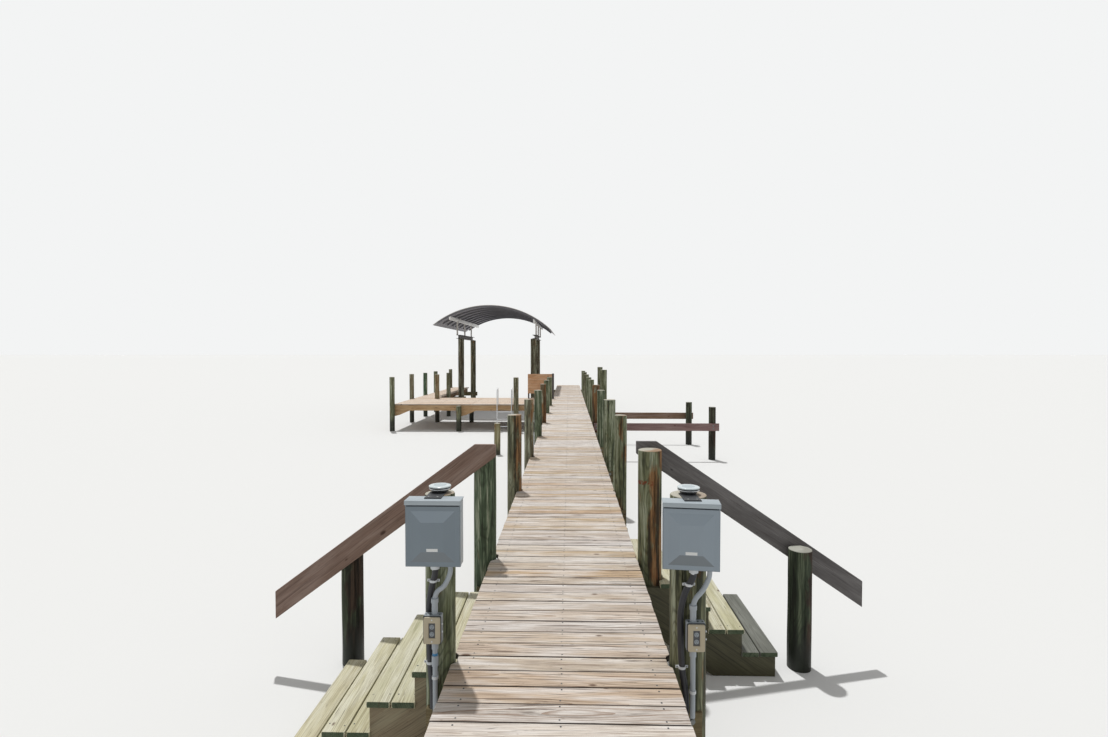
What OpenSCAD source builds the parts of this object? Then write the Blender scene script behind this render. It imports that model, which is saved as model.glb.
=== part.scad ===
// Private timber jetty: walkway on driven pilings, steps down to the water on both sides,
// a sun deck with a finger pier, and a boat slip under an arched canopy.
// Site axes: X across the walkway, Y from the shore outwards, Z up from the deck top.

/* [Levels] */
// Deck top above the water
deck_above_water = 910; // [800:10:1500]
// How far the legs run on below the water's surface
leg_below_water = 0; // [0:10:900]

/* [Walkway] */
// Width of the walkway
walk_w = 1220; // [900:10:1800]
// Shore end to the first pair of posts
shore_lap = 850; // [600:10:1500]
// First pair of posts to the next pair
first_bay = 1630; // [1450:10:2400]
// Spacing of the pilings along the walkway
bay = 2400; // [2300:10:2500]
// Last pair of pilings to the outer end
end_lap = 520; // [300:10:700]
// Inset of the side joists from the walkway's edge
joist_inset = 95; // [60:5:110]
// How far the boards' ends run in and out
board_jog = 2; // [0:1:10]

/* [Timber] */
// Width of a deck board or tread board
board_w = 140; // [90:1:190]
// Thickness of boards, joists, caps and rails
board_t = 38; // [25:1:50]
// Least gap between two deck boards
board_gap = 7; // [3:1:15]
// Depth of joists, caps, fascia boards and rails
joist_h = 184; // [140:1:240]
// Corner rounding of a tread board's end
tread_round = 9; // [3:1:15]

/* [Pilings] */
// Nominal diameter of the walkway pilings
piling_d = 190; // [160:1:240]
// Edge of the walkway to the middle of the pilings
piling_out = 70; // [65:5:110]
// Height of the tall pilings above the deck
piling_top = 950; // [600:10:1300]
// Chamfer round the top of a piling
piling_edge = 8; // [2:1:15]
// Depth cut into a piling to seat a cap board
cap_dap = 24; // [12:1:30]
// Cap board past the middle of a piling
cap_tail = 60; // [40:5:120]
// Clearance between a deck board and a piling
notch_gap = 8; // [3:1:15]

/* [Service posts] */
// Height of the service posts above the deck
post_top = 938; // [880:2:1050]
// Turn of the right enclosure towards the walkway in degrees
box_turn = 7; // [0:0.5:12]
// Width of the grey enclosure
box_w = 290; // [260:5:340]
// Height of the grey enclosure
box_h = 350; // [300:5:420]
// Depth of the grey enclosure
box_d = 90; // [70:5:140]
// Enclosure top above the deck
box_top = 932; // [900:2:1100]
// Height of the enclosure's lid
lid_h = 24; // [16:1:36]
// Relief of the door's raised centre panel
door_relief = 14; // [4:1:20]
// Flat rim round the door's bevel
door_rim = 24; // [12:1:32]
// Width of the door's bevel
door_bevel = 58; // [30:1:70]
// Outer diameter of the black flexible conduit
flex_d = 34; // [24:1:40]
// Outer diameter of the rigid pipe
pipe_d = 27; // [18:1:32]
// Height of the outlet box
outlet_h = 154; // [120:2:180]
// Width of the outlet box
outlet_w = 98; // [70:2:110]
// Depth of the outlet box without its cover
outlet_d = 44; // [36:1:60]
// Top of the left outlet box above the deck
outlet_top = 312; // [290:2:340]
// Diameter of the light on top of each post
lamp_d = 122; // [90:2:160]
// Height of the light's ring and cap
lamp_h = 30; // [24:1:60]

/* [Steps] */
// Treads in each flight
treads = 4; // [2:1:4]
// Deck top down to the first tread
first_drop = 154; // [140:2:180]
// Rise from tread to tread
step_rise = 184; // [150:2:190]
// Run from tread to tread
step_run = 270; // [250:2:280]
// Length of the treads
tread_len = 1150; // [1000:10:1200]
// Middle of the first post to the left flight's near end
left_flight = 130; // [110:5:180]
// Shift of the right flight away from the walkway
right_shift = 36; // [0:2:60]
// Gap between the two boards of a tread
tread_gap = 10; // [4:1:16]
// Overhang of a tread past its carriages
nosing = 15; // [8:1:30]
// Depth of a carriage board below its first seat
carriage_h = 240; // [200:10:300]

/* [Handrails] */
// Height of the left rail's level top above the deck
left_rail_top = 970; // [900:2:1100]
// Height of the right rail's level top above the deck
right_rail_top = 965; // [900:5:1100]
// Slope of the left rail in degrees
left_rail_slope = 36.5; // [30:0.5:38]
// Slope of the right rail in degrees
right_rail_slope = 34.2; // [30:0.2:37]
// Level run at the top of the rails
rail_level = 174; // [120:1:220]
// Sloping run of the left rail
left_rail_run = 1662; // [1400:2:1800]
// Sloping run of the right rail
right_rail_run = 1744; // [1400:2:1900]
// First piling to the middle of the left stub post
left_stub = 1115; // [900:5:1200]
// First piling to the middle of the right stub post
right_stub = 1286; // [1000:2:1400]
// Top of a stub post below the rail's upper edge
stub_drop = 75; // [40:5:120]

/* [Mooring frame] */
// Edge of the walkway to the middle of the mooring posts
moor_out = 2980; // [2000:10:3600]
// How much nearer the outer mooring post stands
moor_skew = 80; // [0:10:200]
// Beam past the outer side of its mooring post
moor_tail = 55; // [20:5:120]
// Top of the mooring posts above the deck
moor_top = 400; // [300:10:600]
// Diameter of the outer mooring posts
moor_d = 180; // [150:2:230]
// Edge of the walkway to the first free-standing pile
pile_out = 600; // [400:10:900]
// Diameter of the two tall free-standing piles
pile_d = 230; // [180:2:280]
// Height of the free-standing mooring piles above the deck
pile_top = 1180; // [900:10:1500]

/* [Sun deck] */
// Shore end to the front edge of the sun deck
plat_y = 17250; // [17100:10:17400]
// Depth of the sun deck along the walkway
plat_d = 2900; // [2700:10:3100]
// Width of the sun deck across the walkway
plat_w = 5310; // [5100:10:5600]
// Width of the finger pier
finger_w = 850; // [700:10:920]
// Length of the finger pier past the sun deck
finger_len = 7100; // [6800:10:7400]
// Diameter of the sun deck's posts
deck_post_d = 180; // [150:2:210]
// Height of the sun deck's posts above the deck
deck_post_top = 930; // [700:10:1200]
// Inset of the end posts from the ends of a deck
post_inset = 200; // [150:10:260]
// Number of joists under the sun deck
plat_joists = 8; // [5:1:12]
// Width of the bench
bench_w = 905; // [700:5:1200]
// Height of the bench's back
bench_h = 945; // [700:5:1100]
// Height of the bench's seat
bench_seat_h = 420; // [350:10:500]
// Width of the swim ladder
ladder_w = 490; // [400:10:560]
// Height of the ladder's grab rails above the deck
ladder_top = 550; // [450:10:800]

/* [Boat slip] */
// Edge of the walkway to the middle of the slip
slip_out = 2590; // [2450:10:2650]
// Half the distance between the two rows of tall pilings
slip_half = 1640; // [1500:10:1700]
// Spacing of the tall pilings along the slip
slip_bay = 3300; // [2800:50:3600]
// Diameter of the tall slip pilings
slip_d = 270; // [180:2:280]
// Height of the tall slip pilings above the deck
slip_top = 2400; // [2000:10:2600]
// Depth of the beams on the tall pilings
beam_h = 170; // [120:5:250]
// Canopy crest above the deck
crest = 3760; // [3650:10:4200]
// Radius of the canopy's arch
arch_r = 3800; // [3500:10:4200]
// Half the width of the canopy
arch_half = 2480; // [2200:10:2650]
// How far the arch's middle stands left of the slip's
arch_lean = 110; // [0:10:200]
// Length of the canopy along the slip
canopy_len = 7700; // [7200:10:8200]
// Thickness of the canopy sheet
sheet_t = 20; // [6:1:40]
// Depth of the arch ribs
rib_h = 70; // [50:5:120]
// Number of arch ribs
ribs = 9; // [5:1:14]

/* [Hidden] */
$fn = 48;

// Colours seen in the photograph
deck_tan = "#c0a48a";
green_pine = "#6f7556";
tread_pine = "#b9b387";
fresh_pine = "#a9825c";
red_pine = "#7d5b4b";
grey_pine = "#5d5450";
enclosure_grey = "#8b95a0";
pipe_grey = "#a5adb4";

// Clearance between a round post and what is bolted to it
seat = 0.3;
plat_seam = 20;
edge = walk_w / 2;
piling_x = edge + piling_out;
slip_x = edge + slip_out;
plat_in = edge + plat_seam;
plat_x = plat_in + plat_w;
base = deck_above_water + leg_below_water;
bents = 12;
tall_left = 7;
tall_right = 10;

// Hand-chosen differences from the pilings' nominal diameter and top, from the shore outwards
left_d = [-18, 8, -5, -22, -24, -35, -20, -14];
right_d = [20, 18, -32, 17, -24, 4, -16, -4, -10, -2, -8];
left_dz = [0, -25, 1, 9, 10, 12, 0, -8];
right_dz = [0, -35, 0, 4, 12, -7, 18, -10, 0, 8, -4];
// And from the pilings' line: positive to the right
left_dx = [0, 15, 36, 53, 74, 78, 72, 70];
right_dx = [20, 36, 5, 34, 25, 35, 5, 12, 20, 10, 16];

function bent_y(k) = k == 0 ? shore_lap : shore_lap + first_bay + (k - 1) * bay;
function left_dia(k) = piling_d + (k <= tall_left ? left_d[k] : -10);
function right_dia(k) = piling_d + (k <= tall_right ? right_d[k] : -10);
function left_x(k) = -piling_x + (k <= tall_left ? left_dx[k] : 0);
function right_x(k) = piling_x + (k <= tall_right ? right_dx[k] : 0);

walk_len = bent_y(bents) + end_lap;
board_n = round((walk_len + board_gap) / (board_w + board_gap));
board_pitch = (walk_len + board_gap) / board_n;
stringer_x = walk_w / 2 - board_t / 2 - joist_inset;
joist_z = -board_t - joist_h;
cap_z = joist_z - joist_h;
cap_seat = piling_d / 2 - cap_dap;

tread_d = 2 * board_w + tread_gap;
tread_out = walk_w / 2 - nosing + tread_d;
joist_face = stringer_x + board_t / 2;
left_flight_y = shore_lap + left_flight;
right_flight_y = bent_y(1) - cap_seat - 2 * board_t - nosing;

finger_x = plat_x - finger_w;
finger_y = plat_y + plat_d;
finger_end = finger_y + finger_len;
deck_post_x = plat_x + deck_post_d / 2 - 25;
canopy_y = walk_len + 150 - canopy_len;
slip_bents = [finger_end - post_inset - slip_bay, finger_end - post_inset];
finger_bents = [finger_y - 2 * post_inset, finger_y + finger_len * 0.24, slip_bents[0], slip_bents[1]];
upright_y = [slip_bents[0] - post_inset, (slip_bents[0] + slip_bents[1]) / 2, slip_bents[1] + post_inset];
arch_cz = crest - arch_r;
rib_ri = arch_r - sheet_t - rib_h;
rail_t = 60;
rail_h = 110;
rail_off = slip_half + 130;

// Height of the ribs' underside at a place to the right of the slip's middle
function arch_under(x) = arch_cz + sqrt(pow(rib_ri, 2) - pow(x + arch_lean, 2)) - seat;
function rail_z(s) = arch_under(s * (rail_off + rail_t / 2)) - rail_h;

function moor_x(s) = edge + moor_out - (s > 0 ? moor_skew : 0);
min_x = -(deck_post_x + deck_post_d / 2);
max_x = moor_x(-1) + moor_d / 2 + moor_tail;
max_y = canopy_y + canopy_len;
mid_x = (min_x + max_x) / 2;
mid_y = max_y / 2;

// Moves the site axes to the middle of the whole jetty's footprint
module site() {
  translate([-mid_x, -mid_y, base]) children();
}

// Upright timber pile from the bottom of the legs, with a chamfered top
module pile(x, y, d, top) {
  translate([x, y, -base]) cylinder(d = d, h = base + top - piling_edge);
  translate([x, y, top - piling_edge]) cylinder(d1 = d, d2 = d - 2 * piling_edge, h = piling_edge);
}

// Pile with the flats that seat a pair of cap boards
module dapped_pile(x, y, d, top, grip = cap_seat) {
  difference() {
    pile(x, y, d, top);
    for (s = [-1, 1])
      translate([x - d, s > 0 ? y + grip : y - grip - d, cap_z]) cube([2 * d, d, joist_h]);
  }
}

// Straight-sided opening for a piling, as sawn into the deck boards
module notch(x, y, d) {
  r = (d / 2 + notch_gap) / cos(22.5);
  translate([x, y, -board_t - 1]) rotate(22.5) cylinder(r = r, h = board_t + 2, $fn = 8);
}

function reach(d) = (d / 2 + notch_gap) / cos(22.5);

// One walkway board, laid by eye and notched where a piling stands at its end
module walk_board(i) {
  y = i * board_pitch;
  difference() {
    translate([-walk_w / 2 + board_jog * sin(i * 137), y, -board_t]) cube([walk_w, board_w, board_t]);
    for (k = [0:bents]) {
      if (k <= tall_left && abs(y + board_w / 2 - bent_y(k)) < board_w / 2 + reach(left_dia(k)))
        notch(left_x(k), bent_y(k), left_dia(k));
      if (k <= tall_right && abs(y + board_w / 2 - bent_y(k)) < board_w / 2 + reach(right_dia(k)))
        notch(right_x(k), bent_y(k), right_dia(k));
    }
  }
}

module deck_boards(third) {
  from = round(board_n * (third - 1) / 3);
  to = round(board_n * third / 3) - 1;
  color(deck_tan) site() for (i = [from:to]) walk_board(i);
}
module deck_boards_near() { deck_boards(1); }
module deck_boards_mid() { deck_boards(2); }
module deck_boards_far() { deck_boards(3); }

// Lengths of joist that butt over every second pair of caps
module stringers(x) {
  color(fresh_pine) site()
    for (k = [0:2:bents]) {
      from = k == 0 ? 0 : bent_y(k) + 1;
      to = k + 2 > bents ? walk_len : bent_y(k + 2) - 1;
      if (to > from)
        translate([x - board_t / 2, from, joist_z]) cube([board_t, to - from, joist_h]);
    }
}
module stringers_left() { stringers(-stringer_x); }
module stringers_centre() { stringers(0); }
module stringers_right() { stringers(stringer_x); }

// Two cap boards, one on each side of a row of piles
module cap_pair(x0, x1, y, grip = cap_seat) {
  for (s = [-1, 1])
    translate([x0, s > 0 ? y + grip : y - grip - board_t, cap_z]) cube([x1 - x0, board_t, joist_h]);
}
module bent_caps() {
  color(green_pine) site()
    for (k = [0:bents]) cap_pair(left_x(k) - cap_tail, right_x(k) + cap_tail, bent_y(k));
}

module pilings_left() {
  color(green_pine) site()
    for (k = [1:tall_left]) dapped_pile(left_x(k), bent_y(k), left_dia(k), piling_top + left_dz[k]);
}
module pilings_right() {
  color(green_pine) site()
    for (k = [1:tall_right]) dapped_pile(right_x(k), bent_y(k), right_dia(k), piling_top + right_dz[k]);
}
// Piles cut off at the cap boards under the outer bays
module pilings_low() {
  color(green_pine) site() {
    for (k = [tall_left + 1:bents]) dapped_pile(left_x(k), bent_y(k), left_dia(k), joist_z);
    for (k = [tall_right + 1:bents]) dapped_pile(right_x(k), bent_y(k), right_dia(k), joist_z);
  }
}

module service_post_left() {
  color(green_pine) site() dapped_pile(left_x(0), bent_y(0), left_dia(0), post_top);
}
module service_post_right() {
  color(green_pine) site() dapped_pile(right_x(0), bent_y(0), right_dia(0), post_top);
}

// Places something at a service post: side -1 is left; the origin is on the post's near face
function post_x(side) = side < 0 ? left_x(0) : right_x(0);
function post_dia(side) = side < 0 ? left_dia(0) : right_dia(0);
module at_post(side, turn = 0) {
  translate([post_x(side), bent_y(0), 0]) rotate(-turn) translate([0, -post_dia(side) / 2 - seat, 0])
    children();
}
function turn_of(side) = side < 0 ? 0 : box_turn;

lid_out = 4;
lid_t = 5;
door_t = 6;
door_gap = 3;

// Closed steel housing under a lid whose lip hangs over the door
module enclosure(side) {
  color(enclosure_grey) site() at_post(side, turn_of(side)) {
    translate([-box_w / 2, -box_d, box_top - box_h]) cube([box_w, box_d, box_h]);
    translate([-box_w / 2 - lid_out, -box_d - door_t - 2 * lid_out, box_top])
      cube([box_w + 2 * lid_out, box_d + door_t + 2 * lid_out, lid_t]);
    translate([-box_w / 2 - lid_out, -box_d - door_t - 2 * lid_out, box_top - lid_h + lid_t])
      cube([box_w + 2 * lid_out, 3, lid_h - lid_t]);
    // Side flange with the seam that the door closes on
    for (s = [-1, 1])
      translate([s * box_w / 2 - 2, -box_d, box_top - box_h]) cube([4, 22, box_h - lid_h]);
  }
}
module enclosure_left() { enclosure(-1); }
module enclosure_right() { enclosure(1); }

// Full door with a flat rim, a bevelled field and a raised centre
module door() {
  w = box_w - 2 * door_gap;
  h = box_h - lid_h - 2 * door_gap;
  field = door_rim + door_bevel;
  translate([-w / 2, -box_d - door_t, box_top - box_h + door_gap]) {
    cube([w, door_t, h]);
    hull() {
      translate([door_rim, 0, door_rim]) cube([w - 2 * door_rim, 1, h - 2 * door_rim]);
      translate([field, -door_relief, field]) cube([w - 2 * field, 1, h - 2 * field]);
    }
  }
}
module enclosure_doors() {
  color(enclosure_grey) site() for (side = [-1, 1]) at_post(side, turn_of(side)) door();
}

// Light on top of each post: bracket reaching over the lid, short neck, ring and domed cap
plate_w = 90;
plate_t = 6;
plate_out = 60;
neck_h = 6;
module post_lights() {
  ring_h = lamp_h * 0.48;
  color("#d8dcdf") site()
    for (side = [-1, 1])
      translate([post_x(side), bent_y(0), post_top]) {
        translate([-plate_w / 2 - 8, -post_dia(side) / 2 - plate_out, 0])
          cube([plate_w, post_dia(side) / 2 + plate_out + plate_w / 2, plate_t]);
        translate([0, 0, plate_t]) cylinder(d = lamp_d * 0.6, h = neck_h);
        translate([0, 0, plate_t + neck_h]) cylinder(d = lamp_d, h = ring_h);
        translate([0, 0, plate_t + neck_h + ring_h])
          cylinder(d1 = lamp_d * 0.94, d2 = lamp_d * 0.8, h = lamp_h - ring_h);
      }
}

// Smooth route through hand-chosen points, as a Catmull-Rom curve
function spot(p, i) = p[max(0, min(len(p) - 1, i))];
function curve_at(p, i, t) =
  let (a = spot(p, i - 1), b = spot(p, i), c = spot(p, i + 1), d = spot(p, i + 2))
  0.5 * (2 * b + (c - a) * t + (2 * a - 5 * b + 4 * c - d) * t * t
    + (3 * b - 3 * c + d - a) * t * t * t);
function route(p, steps) = concat(
  [for (i = [0:len(p) - 2], s = [0:steps - 1]) curve_at(p, i, s / steps)], [p[len(p) - 1]]);
function unit(v) = v / norm(v);
function along(q, i) = unit(q[min(len(q) - 1, i + 1)] - q[max(0, i - 1)]);

// Round tube along a route that stays close to a vertical plane facing the shore
module tube(p, d, steps = 3, sides = 12) {
  q = route(p, steps);
  n = len(q);
  pts = [for (i = [0:n - 1]) let (t = along(q, i), u = unit(cross([0, 1, 0], t)), v = cross(t, u))
    for (a = [0:sides - 1]) q[i] + d / 2 * (cos(a * 360 / sides) * u + sin(a * 360 / sides) * v)];
  ring = [for (i = [0:n - 2], a = [0:sides - 1]) let (b = (a + 1) % sides)
    [i * sides + a, i * sides + b, (i + 1) * sides + b, (i + 1) * sides + a]];
  ends = [[for (a = [sides - 1:-1:0]) a], [for (a = [0:sides - 1]) (n - 1) * sides + a]];
  polyhedron(points = pts, faces = [for (f = concat(ring, ends)) [for (j = [len(f) - 1:-1:0]) f[j]]]);
}

box_bottom = box_top - box_h;
outlet_off = 28;
pipe_y = -outlet_off - 16;
pipe_x = -2;
pipe_end = joist_z;
hub_h = 38;
clip_h = 15;
clip_t = 4;
function outlet_z(side) = outlet_top - (side < 0 ? 0 : 14);

// Place of the black conduit's middle where it lies against the post
function against(side, x) =
  post_dia(side) / 2 + seat - sqrt(pow(post_dia(side) / 2 + flex_d / 2 + 1, 2) - x * x);

// Black conduit from the enclosure's bushing, behind the outlet box and down past the deck edge
function flex_route(side) =
  let (bow = side < 0 ? 42 : 59)
  concat([[0, -42, box_bottom - 22], [-3, -32, box_bottom - 62]],
    [for (p = [[0.62, 440], [1, 330], [1, 180], [0.88, 30], [0.62, -80], [0.52, -140], [0.52, pipe_end]])
      [-bow * p[0], against(side, bow * p[0]), p[1]]]);

// Grey conduit from the enclosure's right side down to the outlet box
function grey_route(side) = [
  [84, pipe_y, box_bottom - 8], [80, pipe_y, box_bottom - 55], [50, pipe_y, box_bottom - 118],
  [12, pipe_y, outlet_z(side) + 120], [pipe_x, pipe_y, outlet_z(side) + 80]
];

// Upright fitting round the rigid pipe, from one height up to another
module fitting(z, h, wider) {
  translate([pipe_x, pipe_y, z]) cylinder(d = pipe_d + wider, h = h);
}
module flex_conduits() {
  color("#2b2d31") site()
    for (side = [-1, 1]) at_post(side) {
      tube(flex_route(side), flex_d);
      translate([0, -42, box_bottom - 26]) cylinder(d = flex_d + 14, h = 26);
    }
}
module service_pipes() {
  color(pipe_grey) site()
    for (side = [-1, 1]) at_post(side) {
      top = outlet_z(side);
      under = top - outlet_h;
      tube(grey_route(side), pipe_d);
      translate([84, pipe_y, box_bottom - 14]) cylinder(d = pipe_d + 10, h = 14);
      fitting(top + 60, 24, 12);
      fitting(top, 60, 6);
      fitting(under - hub_h, hub_h, 8);
      fitting(pipe_end, under - pipe_end, 0);
      if (side < 0) fitting(under - 130, 56, 9);
      pipe_clip(side < 0 ? -36 : -84);
    }
}
// Clamp that holds the rigid pipe off the post
module pipe_clip(z) {
  translate([pipe_x, pipe_y, z - clip_h / 2]) cylinder(d = pipe_d + 2 * clip_t, h = clip_h);
  translate([pipe_x - pipe_d / 4, pipe_y, z - clip_h / 2]) cube([pipe_d / 2, -pipe_y, clip_h]);
}
// Box on a spacer, with a gasket line and a cover whose sunk face takes the sockets
module outlet_boxes() {
  cover_w = outlet_w - 10;
  cover_h = outlet_h - 12;
  face_w = 36;
  face_h = 82;
  color("#b9b3a2") site()
    for (side = [-1, 1]) at_post(side) {
      translate([0, -outlet_off, outlet_z(side) - outlet_h * 0.75]) cube([30, outlet_off, outlet_h / 2]);
      translate([side < 0 ? -10 : 9, -outlet_off, outlet_z(side) - outlet_h / 2]) rotate([90, 0, 0]) {
        linear_extrude(height = outlet_d) rounded(outlet_w, outlet_h, 8);
        translate([0, 0, outlet_d]) linear_extrude(height = 3) rounded(outlet_w - 8, outlet_h - 8, 6);
        translate([0, 0, outlet_d + 3]) difference() {
          linear_extrude(height = 9) rounded(cover_w, cover_h, 8);
          translate([-face_w / 2, -face_h / 2, 4]) cube([face_w, face_h, 6]);
        }
      }
    }
}
// Rectangle with round corners about the origin
module rounded(w, h, r) {
  square([w - 2 * r, h], center = true);
  square([w, h - 2 * r], center = true);
  for (x = [-1, 1], y = [-1, 1]) translate([x * (w / 2 - r), y * (h / 2 - r)]) circle(r = r, $fn = 24);
}

function tread_u(k) = tread_out + (k - 1) * step_run;
function tread_z(k) = -first_drop - (k - 1) * step_rise;

// One board of a tread, its corners rounded in plan
module tread_board(u, y, z, from, to) {
  len = to - from;
  r = tread_round;
  translate([u, y + from, z - board_t]) linear_extrude(height = board_t) {
    translate([r, 0]) square([board_w - 2 * r, len]);
    translate([0, r]) square([board_w, len - 2 * r]);
    for (a = [r, board_w - r], b = [r, len - r]) translate([a, b]) circle(r = r, $fn = 24);
  }
}

// Treads of one flight from y outwards
module treads_at(y, post_x = 0, post_d = 0) {
  // The first tread gives way to a piling that stands in it
  past_post = bent_y(1) + post_d / 2 + notch_gap - y;
  difference() {
    for (k = [1:treads], b = [0, 1])
      tread_board(tread_u(k) - tread_d + b * (board_w + tread_gap), y, tread_z(k),
        k == 1 && b == 0 && post_d > 0 ? past_post : 0, tread_len);
    if (post_d > 0) translate([0, 0, tread_z(1)]) notch(post_x, bent_y(1), post_d);
  }
}
module treads_left() { color(tread_pine) site() mirror([1, 0, 0]) treads_at(left_flight_y); }
module treads_right() {
  color(tread_pine) site() translate([right_shift, 0, 0])
    treads_at(right_flight_y, right_x(1) - right_shift, right_dia(1));
}

// Sawn carriage under one end of the treads, from the walkway's side joist to its foot
module carriage(from) {
  seat_z = [for (k = [1:treads]) tread_z(k) - board_t];
  riser = [for (k = [1:treads]) tread_u(k) - nosing];
  under = seat_z[0] - carriage_h;
  foot_u = from + (base + under) * step_run / step_rise;
  points = concat(
    [[from, -board_t], [tread_u(1) - tread_d - 3, -board_t], [tread_u(1) - tread_d - 3, seat_z[0]]],
    [for (k = [0:treads - 2], e = [0, 1]) [riser[k], seat_z[k + e]]],
    [[riser[treads - 1], seat_z[treads - 1]], [riser[treads - 1], -base]],
    foot_u < riser[treads - 1] ? [[foot_u, -base]] : [],
    [[from, under]]);
  rotate([90, 0, 0]) translate([0, 0, -board_t]) linear_extrude(height = board_t) polygon(points);
}
module carriages_at(y, from) {
  for (v = [nosing, tread_len - nosing - board_t]) translate([0, y + v, 0]) carriage(from);
}
module step_carriages_left() {
  color(tread_pine) site() mirror([1, 0, 0]) carriages_at(left_flight_y, joist_face);
}
module step_carriages_right() {
  color(tread_pine) site() translate([right_shift, 0, 0])
    carriages_at(right_flight_y, joist_face - right_shift);
}

// Sloping handrail boards and the stub posts at their lower ends
function rail_slope(s) = s < 0 ? left_rail_slope : right_rail_slope;
function rail_top(s) = s < 0 ? left_rail_top : right_rail_top;
function rail_bend(s) = piling_x + (s < 0 ? 0.28 : 0.57) * piling_d;
function rail_end(s) = rail_bend(s) + (s < 0 ? left_rail_run : right_rail_run);
function stub_x(s) = piling_x + (s < 0 ? left_stub : right_stub);
function stub_top(s) = rail_edge(s, stub_x(s)) - stub_drop;
function stub_d(s) = s < 0 ? piling_d * 0.97 : piling_d * 1.04;
function first_dia(s) = s < 0 ? left_dia(1) : right_dia(1);
function rail_face(s) = bent_y(1) + s * (first_dia(s) / 2 + seat);
function stub_y(s) = rail_face(s) - s * (stub_d(s) / 2 + seat);
function rail_edge(s, x) = rail_top(s) - (x - rail_bend(s)) * tan(rail_slope(s));

module rail(s) {
  depth = joist_h / cos(rail_slope(s));
  start = rail_bend(s) - rail_level;
  points = [
    [start, rail_top(s)], [rail_bend(s), rail_top(s)], [rail_end(s), rail_edge(s, rail_end(s))],
    [rail_end(s), rail_edge(s, rail_end(s)) - depth], [start, rail_edge(s, start) - depth]
  ];
  translate([0, s > 0 ? rail_face(s) + board_t : rail_face(s), 0]) rotate([90, 0, 0])
    linear_extrude(height = board_t) polygon(points);
}
module rail_left() { color(red_pine) site() mirror([1, 0, 0]) rail(-1); }
module rail_right() { color(grey_pine) site() rail(1); }
module rail_posts() {
  color(green_pine) site() {
    for (s = [-1, 1]) pile(s * stub_x(s), stub_y(s), stub_d(s), stub_top(s));
  }
}

// Open mooring bay on the right: side -1 is the shoreward beam
function moor_bent(s) = s < 0 ? 5 : 6;
function moor_face(s) = bent_y(moor_bent(s)) + s * (right_dia(moor_bent(s)) / 2 + seat);
module mooring_beams() {
  color(grey_pine) site()
    for (s = [-1, 1]) {
      from = right_x(moor_bent(s)) - 60;
      translate([from, s > 0 ? moor_face(s) : moor_face(s) - board_t, -joist_h])
        cube([moor_x(s) + moor_d / 2 + moor_tail - from, board_t, joist_h]);
    }
}
module mooring_posts() {
  color(green_pine) site()
    for (s = [-1, 1])
      pile(moor_x(s), moor_face(s) - s * (moor_d / 2 + seat), moor_d, s < 0 ? moor_top : moor_top * 0.8);
}
// Two tall piles past the mooring bay and a low one left of the walkway
module mooring_piles() {
  color(green_pine) site() {
    pile(edge + pile_out, bent_y(7) + bay * 0.154, pile_d, pile_top);
    pile(edge + pile_out * 1.28, bent_y(9) + bay * 0.404, pile_d, pile_top - 30);
    pile(-edge - pile_out * 2.03, bent_y(5) + bay * 0.24, pile_d * 0.74, -90);
  }
}

plat_n = floor((plat_d + board_gap) / (board_w + board_gap));
plat_pitch = (plat_d + board_gap) / plat_n;
plat_mid = (plat_x + plat_in) / 2;
low_x = plat_in + plat_w * 0.578;
post_bite = 12;
front_y = plat_y - deck_post_d / 2 + post_bite;

// Posts that stand through or beside the sun deck and the finger pier: x, y, top
front_posts = [[deck_post_x - 30, deck_post_top], [low_x, -50],
  [plat_in + plat_w * 0.211, deck_post_top - 10]];
tall_outer = [for (f = [0:3]) [deck_post_x, finger_bents[f], deck_post_top + 12 * cos(f * 137)]];
tall_inner = [for (f = [0, 1]) [finger_x - deck_post_d / 2 + 25, finger_bents[f], deck_post_top - 10 * f]];

// One board of the sun deck, from x = -b to x = -a
module plat_board(a, b, y) {
  difference() {
    translate([-b, y, -board_t]) cube([b - a, board_w, board_t]);
    for (p = concat(tall_outer, tall_inner))
      if (abs(y + board_w / 2 - p[1]) < board_w / 2 + reach(deck_post_d)
        && p[0] > a - reach(deck_post_d) && p[0] < b + reach(deck_post_d))
        notch(-p[0], p[1], deck_post_d);
  }
}
module platform_boards() {
  color(deck_tan) site()
    for (i = [0:plat_n - 1]) {
      y = plat_y + i * plat_pitch;
      plat_board(plat_in, plat_mid - board_gap / 2, y);
      plat_board(plat_mid + board_gap / 2, plat_x, y);
    }
}
module platform_joists() {
  inset = board_t + 20;
  color(fresh_pine) site()
    for (i = [0:plat_joists - 1]) {
      x = plat_in + inset + i * (plat_x - plat_in - 2 * inset) / (plat_joists - 1);
      translate([-x - board_t / 2, plat_y + board_t, joist_z])
        cube([board_t, plat_d - 2 * board_t, joist_h]);
    }
}
// Rim boards across the ends of the joists, butting against the walkway's side joist
module platform_fascia() {
  color(fresh_pine) site()
    for (y = [plat_y, plat_y + plat_d - board_t])
      translate([-plat_x, y, joist_z]) cube([plat_x - joist_face, board_t, joist_h]);
}
module deck_post(x, y, top) {
  dapped_pile(-x, y, deck_post_d, top, deck_seat);
}
deck_seat = deck_post_d / 2 - cap_dap;
module platform_posts() {
  color(green_pine) site() {
    for (p = front_posts) difference() {
      pile(-p[0], front_y, deck_post_d, p[1]);
      translate([-p[0] - deck_post_d, plat_y, joist_z]) cube([2 * deck_post_d, deck_post_d, joist_h]);
    }
    deck_post(low_x, finger_bents[0], joist_z);
  }
}
// Sawn braces behind the front posts, under the fascia
module knee_braces() {
  w = 600;
  h = 215;
  color(fresh_pine) site()
    for (p = [front_posts[0], front_posts[1]])
      translate([-p[0] - 30, plat_y + post_bite + seat + board_t, joist_z]) rotate([90, 0, 0])
        linear_extrude(height = board_t) polygon([[0, 0], [w, 0], [w * 0.42, -h * 0.7], [0, -h]]);
}

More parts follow.
